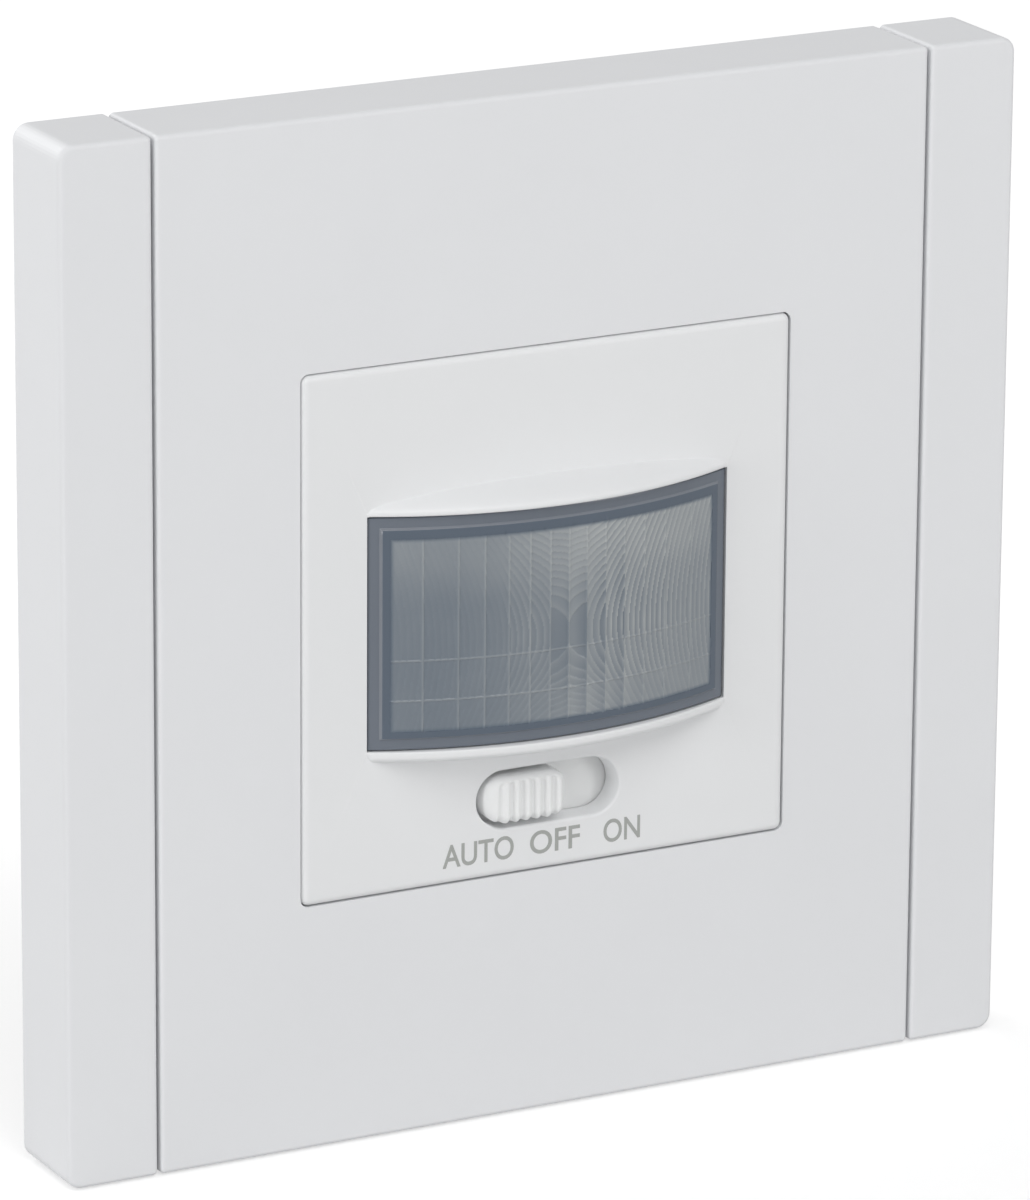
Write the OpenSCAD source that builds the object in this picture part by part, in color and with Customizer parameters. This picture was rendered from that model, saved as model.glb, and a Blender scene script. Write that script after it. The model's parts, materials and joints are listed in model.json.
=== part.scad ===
// Flush wall switch with a passive infrared motion sensor.
// A square frame in three pieces, a square cover with a curved lens and a three-way slider,
// a steel mounting bridge, and a housing behind it with the electronics, claws and terminals.
// X is right, Z is up and Y runs into the wall. The wall's surface is the plane y = 0.

/* [Frame] */
// Width and height of the square frame
plate_size = 86; // [84:0.5:92]
// Depth of the frame from the wall to its front
plate_depth = 8.5; // [8.25:0.25:12]
// Corner radius of the frame, seen from the front
plate_corner_r = 1.3; // [0.8:0.1:4]
// Rounding of the front edges of the frame
edge_r = 0.4; // [0.2:0.1:0.8]
// Thickness of the front and the rim of the frame
shell_wall = 1.6; // [1.2:0.1:1.8]
// Width of each side strip
strip_w = 8; // [7:0.25:9]
// Gap between the panel and a side strip
seam_gap = 0.25; // [0.2:0.05:0.6]
// Thickness of the short walls beside a seam
seam_wall = 1.2; // [1:0.1:1.4]
// Depth of the collar behind the opening of the panel
collar_depth = 2; // [1:0.1:2.2]

/* [Carrier] */
// Thickness of the carrier that the frame clips onto
carrier_t = 2; // [1.6:0.1:2.2]
// Height of the pads between the carrier and the bridge
pad_h = 1.6; // [1.4:0.1:1.8]
// Width of the opening in the carrier
carrier_open_w = 68.4; // [67:0.2:69]
// Gap above and below the chassis in the opening of the carrier
carrier_room = 1.2; // [0.8:0.1:2]
// Gap between the edge of the carrier and the frame's rim
carrier_fit = 0.4; // [0.3:0.05:0.6]
// How far a catch hooks behind the carrier
catch_bite = 0.5; // [0.3:0.1:0.8]

/* [Cover] */
// Width and height of the cover
cover_size = 44.2; // [43.8:0.1:45]
// Gap between the cover and the panel
cover_gap = 0.15; // [0.1:0.05:0.5]
// How far the cover stands in front of the frame
cover_proud = 0.2; // [0:0.1:0.6]
// Corner radius of the cover, seen from the front
cover_corner_r = 0.6; // [0.5:0.1:1.6]
// Rounding of the front edges of the cover
cover_edge_r = 0.5; // [0.3:0.1:0.5]
// Thickness of the front of the cover
cover_wall = 1.6; // [1.4:0.1:1.8]
// Thickness of the skirt round the cover
skirt_wall = 1.4; // [1.2:0.1:1.6]

/* [Lens] */
// Distance of the lens window from the left and right edges of the cover
lens_side = 5.7; // [5.3:0.1:7]
// Distance of the lens window from the top and bottom edges of the cover
lens_top = 12.25; // [12:0.05:13]
// How far the lens bulges in front of the cover
lens_bulge = 3.6; // [2.8:0.1:4]
// Thickness of the lens
lens_wall = 0.9; // [0.7:0.1:1]
// Gap between the lens and its window
lens_fit = 0.12; // [0.05:0.01:0.2]
// Width of the flange round the lens
lens_flange = 1.4; // [1:0.1:1.6]
// How far the lip above and below the lens stands in front of it
lip_proud = 0.4; // [0.2:0.1:0.6]
// Height of the lip above and below the lens, with its slope
lip_rise = 1.5; // [1:0.05:1.6]
// Height of the flat edge of the lip next to the lens
lip_edge = 0.5; // [0.2:0.05:0.6]
// Thickness of the ring that holds the lens in
retainer_t = 1.2; // [0.8:0.1:1.4]

/* [Slider] */
// Length of the slot for the slider
slot_w = 12.7; // [12.4:0.1:13.4]
// Height of the slot for the slider
slot_h = 4.7; // [4.5:0.1:5.2]
// Distance of the slot's middle from the bottom edge of the cover
slot_up = 6.5; // [6.3:0.1:6.6]
// Length of the slider's grip
grip_w = 8; // [7:0.1:8.1]
// Height of the slider's grip
grip_h = 4; // [3.6:0.1:4.2]
// Travel of the slider over its three positions
slider_travel = 4; // [3:0.2:4.2]
// How far the grip stands in front of the cover
grip_proud = 1; // [0.6:0.1:1.4]
// Distance between the ribs of the grip
rib_pitch = 1; // [0.9:0.05:1.05]
// Depth of the grooves between the ribs
rib_depth = 0.3; // [0.15:0.05:0.4]
// Thickness of the plate that closes the slot behind the grip
shutter_t = 1; // [0.8:0.1:1.2]
// Gap between the sliding parts
slide_fit = 0.15; // [0.1:0.05:0.2]

/* [Bridge and chassis] */
// Width and height of the steel bridge
bridge_size = 71; // [70.6:0.2:73]
// Thickness of the bridge
bridge_t = 1; // [0.8:0.1:1.2]
// Corner radius of the bridge
bridge_corner_r = 4; // [2:0.5:6]
// Distance between the two box screws
box_pitch = 60; // [60:0.1:60.4]
// Width of the slots for the box screws
box_slot_w = 4; // [3.6:0.1:4.4]
// Length of the slots for the box screws
box_slot_l = 7; // [6:0.2:7.6]
// Thickness of the chassis between the bridge and the cover
chassis_t = 3; // [2.6:0.1:3.2]

/* [Housing] */
// Width and height of the housing in the wall box
housing_size = 40; // [39.8:0.1:40.6]
// Depth of the housing behind the wall's surface
housing_depth = 23.6; // [23.6:0.2:28]
// Wall thickness of the housing
housing_wall = 1.6; // [1.4:0.1:1.7]
// Corner radius of the housing
housing_corner_r = 8; // [7.6:0.1:8.2]
// Half the spacing of the four screws that join housing and chassis
joint_screw_at = 14.4; // [14.2:0.1:14.5]
// Radius of those four screws
joint_screw_r = 1.15; // [1:0.05:1.25]
// Depth of the front of the sensor board behind the wall's surface
sensor_board_at = 2; // [1.8:0.1:2.4]
// Thickness of both circuit boards
board_t = 1.6; // [1.2:0.1:1.8]
// Height of the posts that carry the power board
post_h = 2.4; // [2:0.1:2.6]

/* [Claws] */
// Distance of each claw above or below the middle
claw_drop = 7; // [6.6:0.1:7.4]
// Width of a claw
claw_w = 5.2; // [4.6:0.1:5.6]
// Length of a claw from its pivot to its end
claw_l = 13.4; // [11:0.2:14]
// Radius of the pin that a claw turns on
claw_pin_r = 1; // [0.8:0.05:1.1]
// Distance of the claw's screw from its pin
claw_arm = 3.2; // [3.1:0.05:3.4]
// Radius of a claw's screw
claw_screw_r = 1.25; // [1.1:0.05:1.3]

/* [Terminals] */
// Distance between the terminals
terminal_pitch = 5; // [4.8:0.1:5.4]
// Radius of the hole for a wire
wire_r = 1.4; // [1.1:0.05:1.5]
// Distance of the terminal block below the middle
terminal_drop = 11; // [10.8:0.1:11.4]

/* [Relay and leads] */
// Length of the relay
relay_l = 18; // [17.6:0.1:18.4]
// Width of the relay
relay_w = 10; // [9.6:0.1:10.2]
// Gap between the relay and the sensor board
relay_room = 2.4; // [1.8:0.1:3]
// Radius of the round leads of the electronic parts
lead_r = 0.35; // [0.25:0.05:0.4]

/* [Hidden] */
$fn = 96;

case_white = [0.90, 0.90, 0.90];
cover_white = [0.92, 0.92, 0.92];
lens_grey = [0.55, 0.58, 0.61];
inner_grey = [0.62, 0.64, 0.66];
housing_black = [0.12, 0.12, 0.13];
steel = [0.72, 0.73, 0.75];
brass = [0.80, 0.66, 0.34];
copper = [0.76, 0.43, 0.24];
board_green = [0.10, 0.36, 0.20];
tin = [0.80, 0.80, 0.78];
filter_dark = [0.16, 0.16, 0.19];
cell_amber = [0.80, 0.62, 0.44];
laminate_brown = [0.45, 0.28, 0.14];
trimmer_blue = [0.20, 0.35, 0.62];
dial_ivory = [0.92, 0.90, 0.84];
relay_blue = [0.16, 0.30, 0.55];
nylon = [0.88, 0.86, 0.80];
film_yellow = [0.82, 0.62, 0.16];
sleeve_navy = [0.10, 0.12, 0.20];
lacquer_blue = [0.10, 0.22, 0.55];
resistor_blue = [0.45, 0.60, 0.70];
diode_black = [0.13, 0.13, 0.14];
terminal_grey = [0.86, 0.86, 0.84];

// Extra length of a cut past the surface that it opens
cut = 1;
// Overlap of a moulded feature with the wall that it grows from
root = 0.2;

// Depth stations, from the front to the back
face_y = -plate_depth;
cover_y = face_y - cover_proud;
cover_in_y = cover_y + cover_wall;
bridge_y = -bridge_t;
carrier_back = bridge_y - pad_h;
carrier_front = carrier_back - carrier_t;
chassis_front = bridge_y - chassis_t;
sensor_front = sensor_board_at;
sensor_back = sensor_front + board_t;
housing_in = housing_depth - housing_wall;
power_back = housing_in - post_h;
power_front = power_back - board_t;
relay_h = power_front - sensor_back - relay_room;

// Plan sizes of the frame and the cover
plate_half = plate_size/2;
strip_in = plate_half - strip_w;
panel_half = strip_in - seam_gap;
rim_in = plate_half - shell_wall;
carrier_half = rim_in - carrier_fit;
cover_half = cover_size/2;
carrier_open_h = cover_size + 2*carrier_room;
skirt_in = cover_half - skirt_wall;
opening = cover_size + 2*cover_gap;

// Catches, posts and lugs of the clip-on frame
catch_w = 6;
catch_t = 1;
catch_gap = 0.1;
catch_at = 20;
post_r = 1.2;
panel_post_at = [24, (carrier_open_h/2 + carrier_half)/2 + 4];
strip_post_at = [(strip_in + seam_wall + rim_in)/2, 30];
lug_at = [16, 31];
lug_w = 6;
lug_fit = 0.2;
pad_at = [27, 29];
pad_size = [6, 4];

// Lens: a cylinder about a vertical axis, flush with the cover at its left and right edges
lens_w = cover_size - 2*lens_side;
lens_h = cover_size - 2*lens_top;
lens_r = (lens_w*lens_w/4 + lens_bulge*lens_bulge)/(2*lens_bulge);
lens_axis_y = cover_y - lens_bulge + lens_r;
flange_front = cover_in_y + lens_fit;
flange_back = flange_front + lens_wall;
flange_half = [lens_w/2 + lens_flange, lens_h/2 + lens_flange];
retainer_front = flange_back + lens_fit;
retainer_back = retainer_front + retainer_t;
// Pegs beside the lens that the retainer is staked on
peg_r = 0.9;
peg_fit = 0.05;
peg_at = [(flange_half[0] + skirt_in)/2, 6];
ear_end = skirt_in - 0.2;
ear_half = 2.2;
ear_fit = 0.3;

// Lip above and below the lens, a little rounder than the lens
lip_over = 0.3;
lip_h = lens_bulge + lip_proud;
lip_half = lens_w/2 + lip_over;
lip_r = (lip_half*lip_half + lip_h*lip_h)/(2*lip_h);
lip_axis_y = cover_y - lip_h + lip_r;

// Slider and the plate behind its slot
slot_drop = cover_half - slot_up;
slider_rest = [-slider_travel/2, 0, -slot_drop];
grip_front = cover_y - grip_proud;
shutter_over = 0.8;
shutter_half = [slot_w/2 + slider_travel/2 + shutter_over, slot_h/2 + shutter_over];
shutter_front = cover_in_y + slide_fit;
shutter_back = shutter_front + shutter_t;
groove_r = 0.38;
groove_count = 6;
guide_t = 0.6;
hook_bite = 0.5;
lever_size = [3, 2];
lever_fit = 0.05;
lever_tip = shutter_back + 0.5;
socket_wall = 1.1;
socket_l = 2.5;

// Chassis: a lip inside the cover's skirt, corner blocks and bosses
lip_len = 1.4;
lip_fit = 0.15;
lip_t = 0.9;
snap_w = 6;
snap_t = 0.7;
snap_bite = 0.4;
snap_fit = 0.1;
chassis_open = housing_size - 2*housing_wall;
corner_block = 7;
boss_r = 2.5;
thread_fit = 0.05;

// Bridge opening
bridge_open = housing_size - 1.2;
bridge_open_r = 3;

// Housing
flange_size = housing_size + 3.2;
flange_t = 1.5;
flange_corner_r = housing_corner_r + 1;
tube_r = 3;
screw_fit = 0.2;
joint_at = [joint_screw_at, joint_screw_at];
joint_head_r = 2.1;
joint_head_h = 1.6;
joint_head_y = housing_depth - joint_head_h - 0.2;
joint_thread_l = 4.5;
board_fit = 0.4;
board_size = housing_size - 2*housing_wall - board_fit;
board_corner_r = housing_corner_r - housing_wall;
power_screw_at = [14.5, -9];
power_screw_r = 0.9;
power_head_r = 1.7;
power_head_h = 1.2;
power_post_r = 2.2;
top_post_at = [7, 15.4];
vent_count = 5;
vent_pitch = 3.4;
vent_w = 1.4;
vent_y = [power_front - relay_h, power_front - 2];

// Claws: a pin beside the housing, an arm to the screw and a leg with teeth
claw_play = 0.2;
claw_knuckle_r = claw_pin_r + 0.7;
claw_bore_r = claw_pin_r + 0.1;
claw_t = 1.2;
claw_head_r = 2.3;
claw_head_room = 0.7;
claw_reach = max(housing_size/2 + claw_knuckle_r + claw_play,
                 cover_half + claw_head_room + claw_head_r - claw_arm);
claw_at = [-claw_reach, 4.8];
claw_screw_x = claw_at[0] - claw_arm;
claw_slot = [claw_arm - claw_screw_r - 0.3, claw_arm + claw_screw_r + 0.95];
claw_arm_end = claw_slot[1] + 0.8;
claw_tooth = 2.2;
ear_t = 1.6;
ear_reach = 1.7;
claw_head_h = 1.5;
// A short end past the arm leaves room for the leg as it swings out
claw_screw_end = claw_at[1] + 2.4;
recess_w = 0.7;
recess_d = 0.7;
recess_share = 0.7;

// Sensor board parts
lead_fit = 0.1;
lead_tail = 0.8;
pir_r = 4.15;
pir_flange_r = 4.6;
pir_flange_t = 0.8;
pir_spacer_t = 1;
pir_h = 3.6;
pir_wall = 0.4;
pir_window_size = [4.2, 3.2];
pir_fit = 0.05;
pir_lead_circle = 2.54;
pir_lead_at = [for (a = [0, 90, 180]) pir_lead_circle*[cos(a), sin(a)]];
light_at = [9.8, 2];
light_r = 2.5;
light_h = 4.6;
light_lead = 1.27;
light_lead_at = [for (s = [-1, 1]) light_at + [s*light_lead, 0]];
trimmer_at = [7.6, 13.2];
trimmer_size = 6.4;
trimmer_h = 3.6;
trimmer_lead = 2.2;
dial_r = 2.5;
dial_fit = 0.1;
dial_t = 1.6;
dial_shaft_r = 1;
dial_shaft_l = 1.5;
trimmer_lead_at = [
    for (s = [-1, 1], x = [-1, 1])
        [s*trimmer_at[0] + x*trimmer_lead, trimmer_at[1] - trimmer_lead]
];
chip_at = [-10.4, -3];
chip_size = [3.9, 9.9];
chip_h = 1.5;
chip_lift = 0.15;
chip_lead_count = 8;
chip_lead_pitch = 1.27;
header_count = 5;
header_pitch = 2.54;
header_first = [16.3, -5.2];
header_at = [for (i = [0:header_count - 1]) header_first + [0, i*header_pitch]];

// Three-way switch on the sensor board
switch_size = [10.4, 4.2];
switch_h = 4.4;
switch_base_t = 0.8;
switch_wall = 0.35;
switch_foot = [5.2, 3];
switch_foot_t = 1;
wiper_size = [4, 1.6];
wiper_t = 0.5;
wiper_gap = 0.1;
wiper_arm = 1;
switch_pin_pitch = 2;
switch_pin_at = [for (i = [-1.5:1:1.5]) [i*switch_pin_pitch, -slot_drop]];

// Power board parts
relay_at = [-5, 6.1];
relay_wall = 0.6;
relay_base_t = 1.6;
relay_lead = 3.2;
film_at = [11.2, 8.3];
film_size = [12.6, 5];
film_h = 11;
film_lead = 5;
// Capacitors as X, Z, radius and height
can_list = [[10.5, -1, 4, 11], [3.4, -1.7, 2.5, 9]];
varistor_at = [-14.2, -2.6];
varistor_r = 3.5;
varistor_t = 3.4;
varistor_lift = 1;
varistor_lead = 2.5;
fuse_at = [-5.6, -2.5];
fuse_r = 1.3;
fuse_l = 6.6;
diode_pitch = 3.2;
diode_at = [for (i = [0:3]) [-6.6 + i*diode_pitch, -8.5]];
diode_r = 1.3;
diode_l = 4.6;
axial_lead = 1.2;

// Relay magnet, measured from the board
yoke_x = -relay_l/2 + 1.9;
yoke_t = 1;
yoke_w = 6;
coil_x = yoke_x + 5.5;
coil_r = 3.9;
core_r = 1.5;
core_fit = 0.1;
bobbin_r = 4.1;
bobbin_wall = 0.6;
coil_h0 = relay_base_t + yoke_t + 0.3;
coil_h1 = relay_h - 3.4;
flange_h = 0.6;
pole_r = 2.4;
pole_top = relay_h - 2.6;
pivot_h = pole_top + 0.2;
pivot_r = 0.5;
armature_fit = 0.05;
armature_t = 0.8;
armature_h = pivot_h + pivot_r + armature_fit;
armature_end = coil_x + 4;
contact_x = relay_l/2 - 2.8;
contact_r = 1;
contact_h = 0.6;
spring_t = 0.3;
spring_w = 3;
fixed_contact_h = armature_h - 1.7;

power_lead_at = concat(
    [for (x = [coil_x, contact_x], s = [-1, 1]) relay_at + [x, s*relay_lead]],
    [for (s = [-1, 1]) film_at + [s*film_lead, 0]],
    [for (c = can_list, s = [-1, 1]) [c[0] + s*c[2]/2, c[1]]],
    [for (s = [-1, 1]) varistor_at + [0, s*varistor_lead]],
    [for (s = [-1, 1]) fuse_at + [s*(fuse_l/2 + axial_lead), 0]],
    [for (d = diode_at, s = [-1, 1]) d + [0, s*(diode_l/2 + axial_lead)]]
);

// Terminals
terminal_count = 3;
terminal_x = [for (i = [0:terminal_count - 1]) (i - (terminal_count - 1)/2)*terminal_pitch];
terminal_wall = 1;
terminal_half = [(terminal_count*terminal_pitch + terminal_wall)/2, 4.6];
terminal_bottom = -terminal_drop - terminal_half[1];
terminal_top = -terminal_drop + terminal_half[1];
clamp_fit = 0.1;
clamp_half_x = (terminal_pitch - terminal_wall)/2 - clamp_fit;
clamp_z = [terminal_bottom + 1.2, -terminal_drop + 3.2];
wire_y = housing_depth + 0.4 + wire_r;
clamp_y = [power_back + lead_tail + 1.2, wire_y + wire_r + 2.4];
terminal_end = clamp_y[1] + 2.2;
terminal_screw_r = 1.2;
terminal_head_r = 1.8;
terminal_head_h = 1.6;
terminal_lead_z = -terminal_drop - 3;
terminal_screw_z = (clamp_z[0] + clamp_z[1])/2;
// Hollow under the terminal block, over the tails of leads from the other side of the board
terminal_rim = 0.4;
terminal_hollow = lead_tail + 0.3;
window_fit = 0.25;

// A box between two corners
module block(lo, hi) {
    translate(lo) cube(hi - lo);
}

// An outline drawn in X and Z, extruded from one depth to another
module slab(y0, y1) {
    translate([0, y1, 0]) rotate([90, 0, 0]) linear_extrude(height = y1 - y0) children();
}

// Round bars along the three axes
module rod_x(at, x0, x1, r) {
    translate([x0, at[0], at[1]]) rotate([0, 90, 0]) cylinder(h = x1 - x0, r = r);
}

module rod_y(at, y0, y1, r) {
    translate([at[0], y0, at[1]]) rotate([-90, 0, 0]) cylinder(h = y1 - y0, r = r);
}

module rod_z(at, z0, z1, r) {
    translate([at[0], at[1], z0]) cylinder(h = z1 - z0, r = r);
}

// A rectangle with round corners
module round_rect(w, h, r) {
    square([w - 2*r, h], center = true);
    square([w, h - 2*r], center = true);
    for (x = [-1, 1], z = [-1, 1])
        translate([x*(w/2 - r), z*(h/2 - r)]) circle(r);
}

// A slot outline with half-round ends
module stadium(w, h) {
    square([w - h, h], center = true);
    for (x = [-1, 1])
        translate([x*(w - h)/2, 0]) circle(h/2);
}

// One corner of a moulded plate: a round column with a rounded front edge
module soft_corner(r, d, e) {
    cylinder(h = d - e, r = r);
    translate([0, 0, d - e])
        rotate_extrude()
            intersection() {
                translate([r - e, 0]) circle(e);
                square([r, e]);
            }
}

// A moulded plate with its own radius at each corner, from lower left round to upper left
module soft_slab(lo, hi, y0, y1, e, radii) {
    hull()
        for (i = [0:3]) {
            right = i == 1 || i == 2;
            top = i > 1;
            x = right ? hi[0] - radii[i] : lo[0] + radii[i];
            z = top ? hi[1] - radii[i] : lo[1] + radii[i];
            translate([x, y1, z]) rotate([90, 0, 0]) soft_corner(radii[i], y1 - y0, e, $fn = 32);
        }
}

// The four places with mirrored X and Z
module four_times(at) {
    for (x = [-1, 1], z = [-1, 1])
        translate([x*at[0], 0, z*at[1]]) children();
}

// Half a turn about Y takes the left claw to the right one
module other_side() {
    rotate([0, 180, 0]) children();
}

// A cross recess in the head of a screw that faces the front
module cross_recess(at, y0, r) {
    for (turn = [0, 90])
        translate([at[0], y0, at[1]])
            rotate([0, turn, 0])
                block([-r, -cut, -recess_w/2], [r, recess_d, recess_w/2]);
}

// A hook that holds the frame behind the carrier, grown from the rim at +Z
module rim_catch() {
    block([-catch_w/2, carrier_back + catch_gap, carrier_half - catch_bite],
          [catch_w/2, carrier_back + catch_gap + catch_t, rim_in + root]);
}

module frame_panel() {
    color(case_white) {
        difference() {
            soft_slab([-panel_half, -plate_half], [panel_half, plate_half], face_y, 0, edge_r,
                      [edge_r, edge_r, edge_r, edge_r]);
            block([-panel_half + seam_wall, face_y + shell_wall, -rim_in],
                  [panel_half - seam_wall, cut, rim_in]);
            block([-plate_half, carrier_front, -rim_in], [plate_half, cut, rim_in]);
            slab(face_y - cut, 0) round_rect(opening, opening, cover_corner_r + cover_gap);
        }
        slab(face_y + shell_wall - root, face_y + shell_wall + collar_depth)
            difference() {
                square(opening + 2*seam_wall, center = true);
                round_rect(opening, opening, cover_corner_r + cover_gap);
            }
        four_times(panel_post_at) rod_y([0, 0], face_y + shell_wall - root, carrier_front, post_r);
        for (x = [-1, 1], turn = [0, 180])
            rotate([0, turn, 0]) translate([x*catch_at, 0, 0]) rim_catch();
    }
}

// The strip at the right; the left one is its mirror image
module frame_strip() {
    difference() {
        soft_slab([strip_in, -plate_half], [plate_half, plate_half], face_y, 0, edge_r,
                  [edge_r, plate_corner_r, plate_corner_r, edge_r]);
        block([strip_in + seam_wall, face_y + shell_wall, -rim_in], [rim_in, cut, rim_in]);
        block([strip_in - cut, carrier_front, -rim_in], [rim_in, cut, rim_in]);
    }
    for (z = [-1, 1]) {
        rod_y([strip_post_at[0], z*strip_post_at[1]], face_y + shell_wall - root, carrier_front, post_r);
        rotate([0, 90, 0]) translate([z*catch_at, 0, 0]) rim_catch();
    }
}

module frame_strip_right() {
    color(case_white) frame_strip();
}

module frame_strip_left() {
    color(case_white) mirror([1, 0, 0]) frame_strip();
}

module frame_carrier() {
    color(inner_grey) {
        difference() {
            slab(carrier_front, carrier_back)
                difference() {
                    square(2*carrier_half, center = true);
                    square([carrier_open_w, carrier_open_h], center = true);
                }
            four_times(lug_at)
                block([-lug_w/2 - lug_fit, carrier_front - cut, -bridge_t/2 - lug_fit],
                      [lug_w/2 + lug_fit, carrier_back + cut, bridge_t/2 + lug_fit]);
        }
        four_times(pad_at)
            block([-pad_size[0]/2, carrier_back - root, -pad_size[1]/2],
                  [pad_size[0]/2, bridge_y, pad_size[1]/2]);
    }
}

// The raised lip above the lens, sloping back to the front of the cover
module lens_lip() {
    intersection() {
        translate([0, lip_axis_y, lens_h/2]) {
            cylinder(h = lip_edge, r = lip_r);
            translate([0, 0, lip_edge]) cylinder(h = lip_rise - lip_edge, r1 = lip_r, r2 = lip_r - lip_h);
        }
        block([-lens_w, cover_y - lip_h - cut, 0], [lens_w, cover_y + root, lens_h]);
    }
}

module cover_plate() {
    color(cover_white) {
        difference() {
            union() {
                soft_slab([-cover_half, -cover_half], [cover_half, cover_half], cover_y, chassis_front,
                          cover_edge_r, [for (i = [0:3]) cover_corner_r]);
                lens_lip();
                mirror([0, 0, 1]) lens_lip();
            }
            block([-skirt_in, cover_in_y, -skirt_in], [skirt_in, chassis_front + cut, skirt_in]);
            block([-lens_w/2, cover_y - lip_h - cut, -lens_h/2], [lens_w/2, cover_in_y + cut, lens_h/2]);
            translate([0, 0, -slot_drop]) slab(cover_y - cut, cover_in_y + cut) stadium(slot_w, slot_h);
            for (turn = [0, 180])
                rotate([0, turn, 0])
                    snap(snap_fit, skirt_in - root);
        }
        four_times(peg_at) rod_y([0, 0], cover_in_y - root, retainer_back, peg_r);
        for (s = [-1, 1])
            translate([0, 0, -slot_drop]) shutter_guide(s);
    }
}

// A snap nub on the lip of the chassis at +Z, or the pocket for it with some room
module snap(room, z0) {
    block([-snap_w/2 - room, chassis_front - lip_len/2 - snap_t/2 - room, z0],
          [snap_w/2 + room, chassis_front - lip_len/2 + snap_t/2 + room,
           skirt_in - lip_fit + snap_bite + room]);
}

// A rail behind the cover, above or below the shutter, with a hook behind it
module shutter_guide(s) {
    rail = shutter_half[1] + slide_fit;
    reach = shutter_half[0] + slider_travel/2;
    mirror([0, 0, s < 0 ? 1 : 0]) {
        block([-reach, cover_in_y - root, rail],
              [reach, shutter_back + slide_fit + guide_t, rail + guide_t]);
        block([-reach, shutter_back + slide_fit, rail - slide_fit - hook_bite],
              [reach, shutter_back + slide_fit + guide_t, rail + guide_t]);
    }
}

module lens_round(r) {
    translate([0, lens_axis_y, 0]) cylinder(h = 2*cover_size, r = r, center = true);
}

module fresnel_lens() {
    half = [lens_w/2 - lens_fit, lens_h/2 - lens_fit];
    front = cover_y - lens_bulge - cut;
    color(lens_grey)
        difference() {
            union() {
                intersection() {
                    lens_round(lens_r);
                    block([-half[0], front, -half[1]], [half[0], flange_back, half[1]]);
                }
                block([-flange_half[0], flange_front, -flange_half[1]],
                      [flange_half[0], flange_back, flange_half[1]]);
            }
            intersection() {
                lens_round(lens_r - lens_wall);
                block([-half[0] + lens_wall, front, -half[1] + lens_wall],
                      [half[0] - lens_wall, flange_back + cut, half[1] - lens_wall]);
            }
        }
}

module lens_retainer() {
    inner = [lens_w/2 - lens_fit - lens_wall, lens_h/2 - lens_fit - lens_wall];
    color(inner_grey)
        difference() {
            union() {
                block([-flange_half[0], retainer_front, -flange_half[1]],
                      [flange_half[0], retainer_back, flange_half[1]]);
                for (z = [-1, 1])
                    block([-ear_end, retainer_front, z*peg_at[1] - ear_half],
                          [ear_end, retainer_back, z*peg_at[1] + ear_half]);
            }
            block([-inner[0], retainer_front - cut, -inner[1]], [inner[0], retainer_back + cut, inner[1]]);
            four_times(peg_at) rod_y([0, 0], retainer_front - cut, retainer_back + cut, peg_r + peg_fit);
        }
}

module mode_slider() {
    socket = lever_size/2 + [lever_fit, lever_fit];
    color(cover_white)
        translate(slider_rest) {
            difference() {
                slab(grip_front, shutter_front + root) stadium(grip_w, grip_h);
                for (i = [0:groove_count - 1])
                    rod_z([(i - (groove_count - 1)/2)*rib_pitch, grip_front - groove_r + rib_depth],
                          -grip_h, grip_h, groove_r);
            }
            block([-shutter_half[0], shutter_front, -shutter_half[1]],
                  [shutter_half[0], shutter_back, shutter_half[1]]);
            difference() {
                block([-socket[0] - socket_wall, shutter_back - root, -socket[1] - socket_wall],
                      [socket[0] + socket_wall, shutter_back + socket_l, socket[1] + socket_wall]);
                block([-socket[0], shutter_back + root, -socket[1]],
                      [socket[0], shutter_back + socket_l + cut, socket[1]]);
            }
        }
}

module head_chassis() {
    lip_out = skirt_in - lip_fit;
    block_at = chassis_open/2 - corner_block/2;
    color(cover_white)
        difference() {
            union() {
                slab(chassis_front, bridge_y)
                    difference() {
                        round_rect(cover_size, cover_size, cover_corner_r);
                        square(chassis_open, center = true);
                    }
                slab(chassis_front - lip_len, chassis_front + root)
                    difference() {
                        square(2*lip_out, center = true);
                        square(2*(lip_out - lip_t), center = true);
                    }
                for (turn = [0, 180])
                    rotate([0, turn, 0])
                        snap(0, lip_out - root);
                four_times([block_at, block_at])
                    block([-corner_block/2 - root, chassis_front, -corner_block/2 - root],
                          [corner_block/2 + root, bridge_y, corner_block/2 + root]);
                four_times(joint_at)
                    rod_y([0, 0], bridge_y - root, sensor_front, boss_r);
            }
            four_times(joint_at)
                rod_y([0, 0], sensor_front - joint_thread_l, sensor_front + cut, joint_screw_r + thread_fit);
            // Room in the lip for the ears of the lens retainer
            for (z = [-1, 1])
                block([-cover_half, chassis_front - lip_len - cut, z*peg_at[1] - ear_half - ear_fit],
                      [cover_half, chassis_front, z*peg_at[1] + ear_half + ear_fit]);
        }
}

module bridge_plate() {
    color(steel) {
        difference() {
            slab(bridge_y, 0) round_rect(bridge_size, bridge_size, bridge_corner_r);
            slab(bridge_y - cut, cut) round_rect(bridge_open, bridge_open, bridge_open_r);
            for (s = [-1, 1]) {
                translate([s*box_pitch/2, 0, 0]) slab(bridge_y - cut, cut) stadium(box_slot_l, box_slot_w);
                rod_y([s*claw_screw_x, s*claw_drop], bridge_y - cut, cut, claw_screw_r + screw_fit);
            }
        }
        four_times(lug_at)
            block([-lug_w/2, carrier_front - bridge_t/2, -bridge_t/2],
                  [lug_w/2, bridge_y + root, bridge_t/2]);
    }
}

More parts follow.
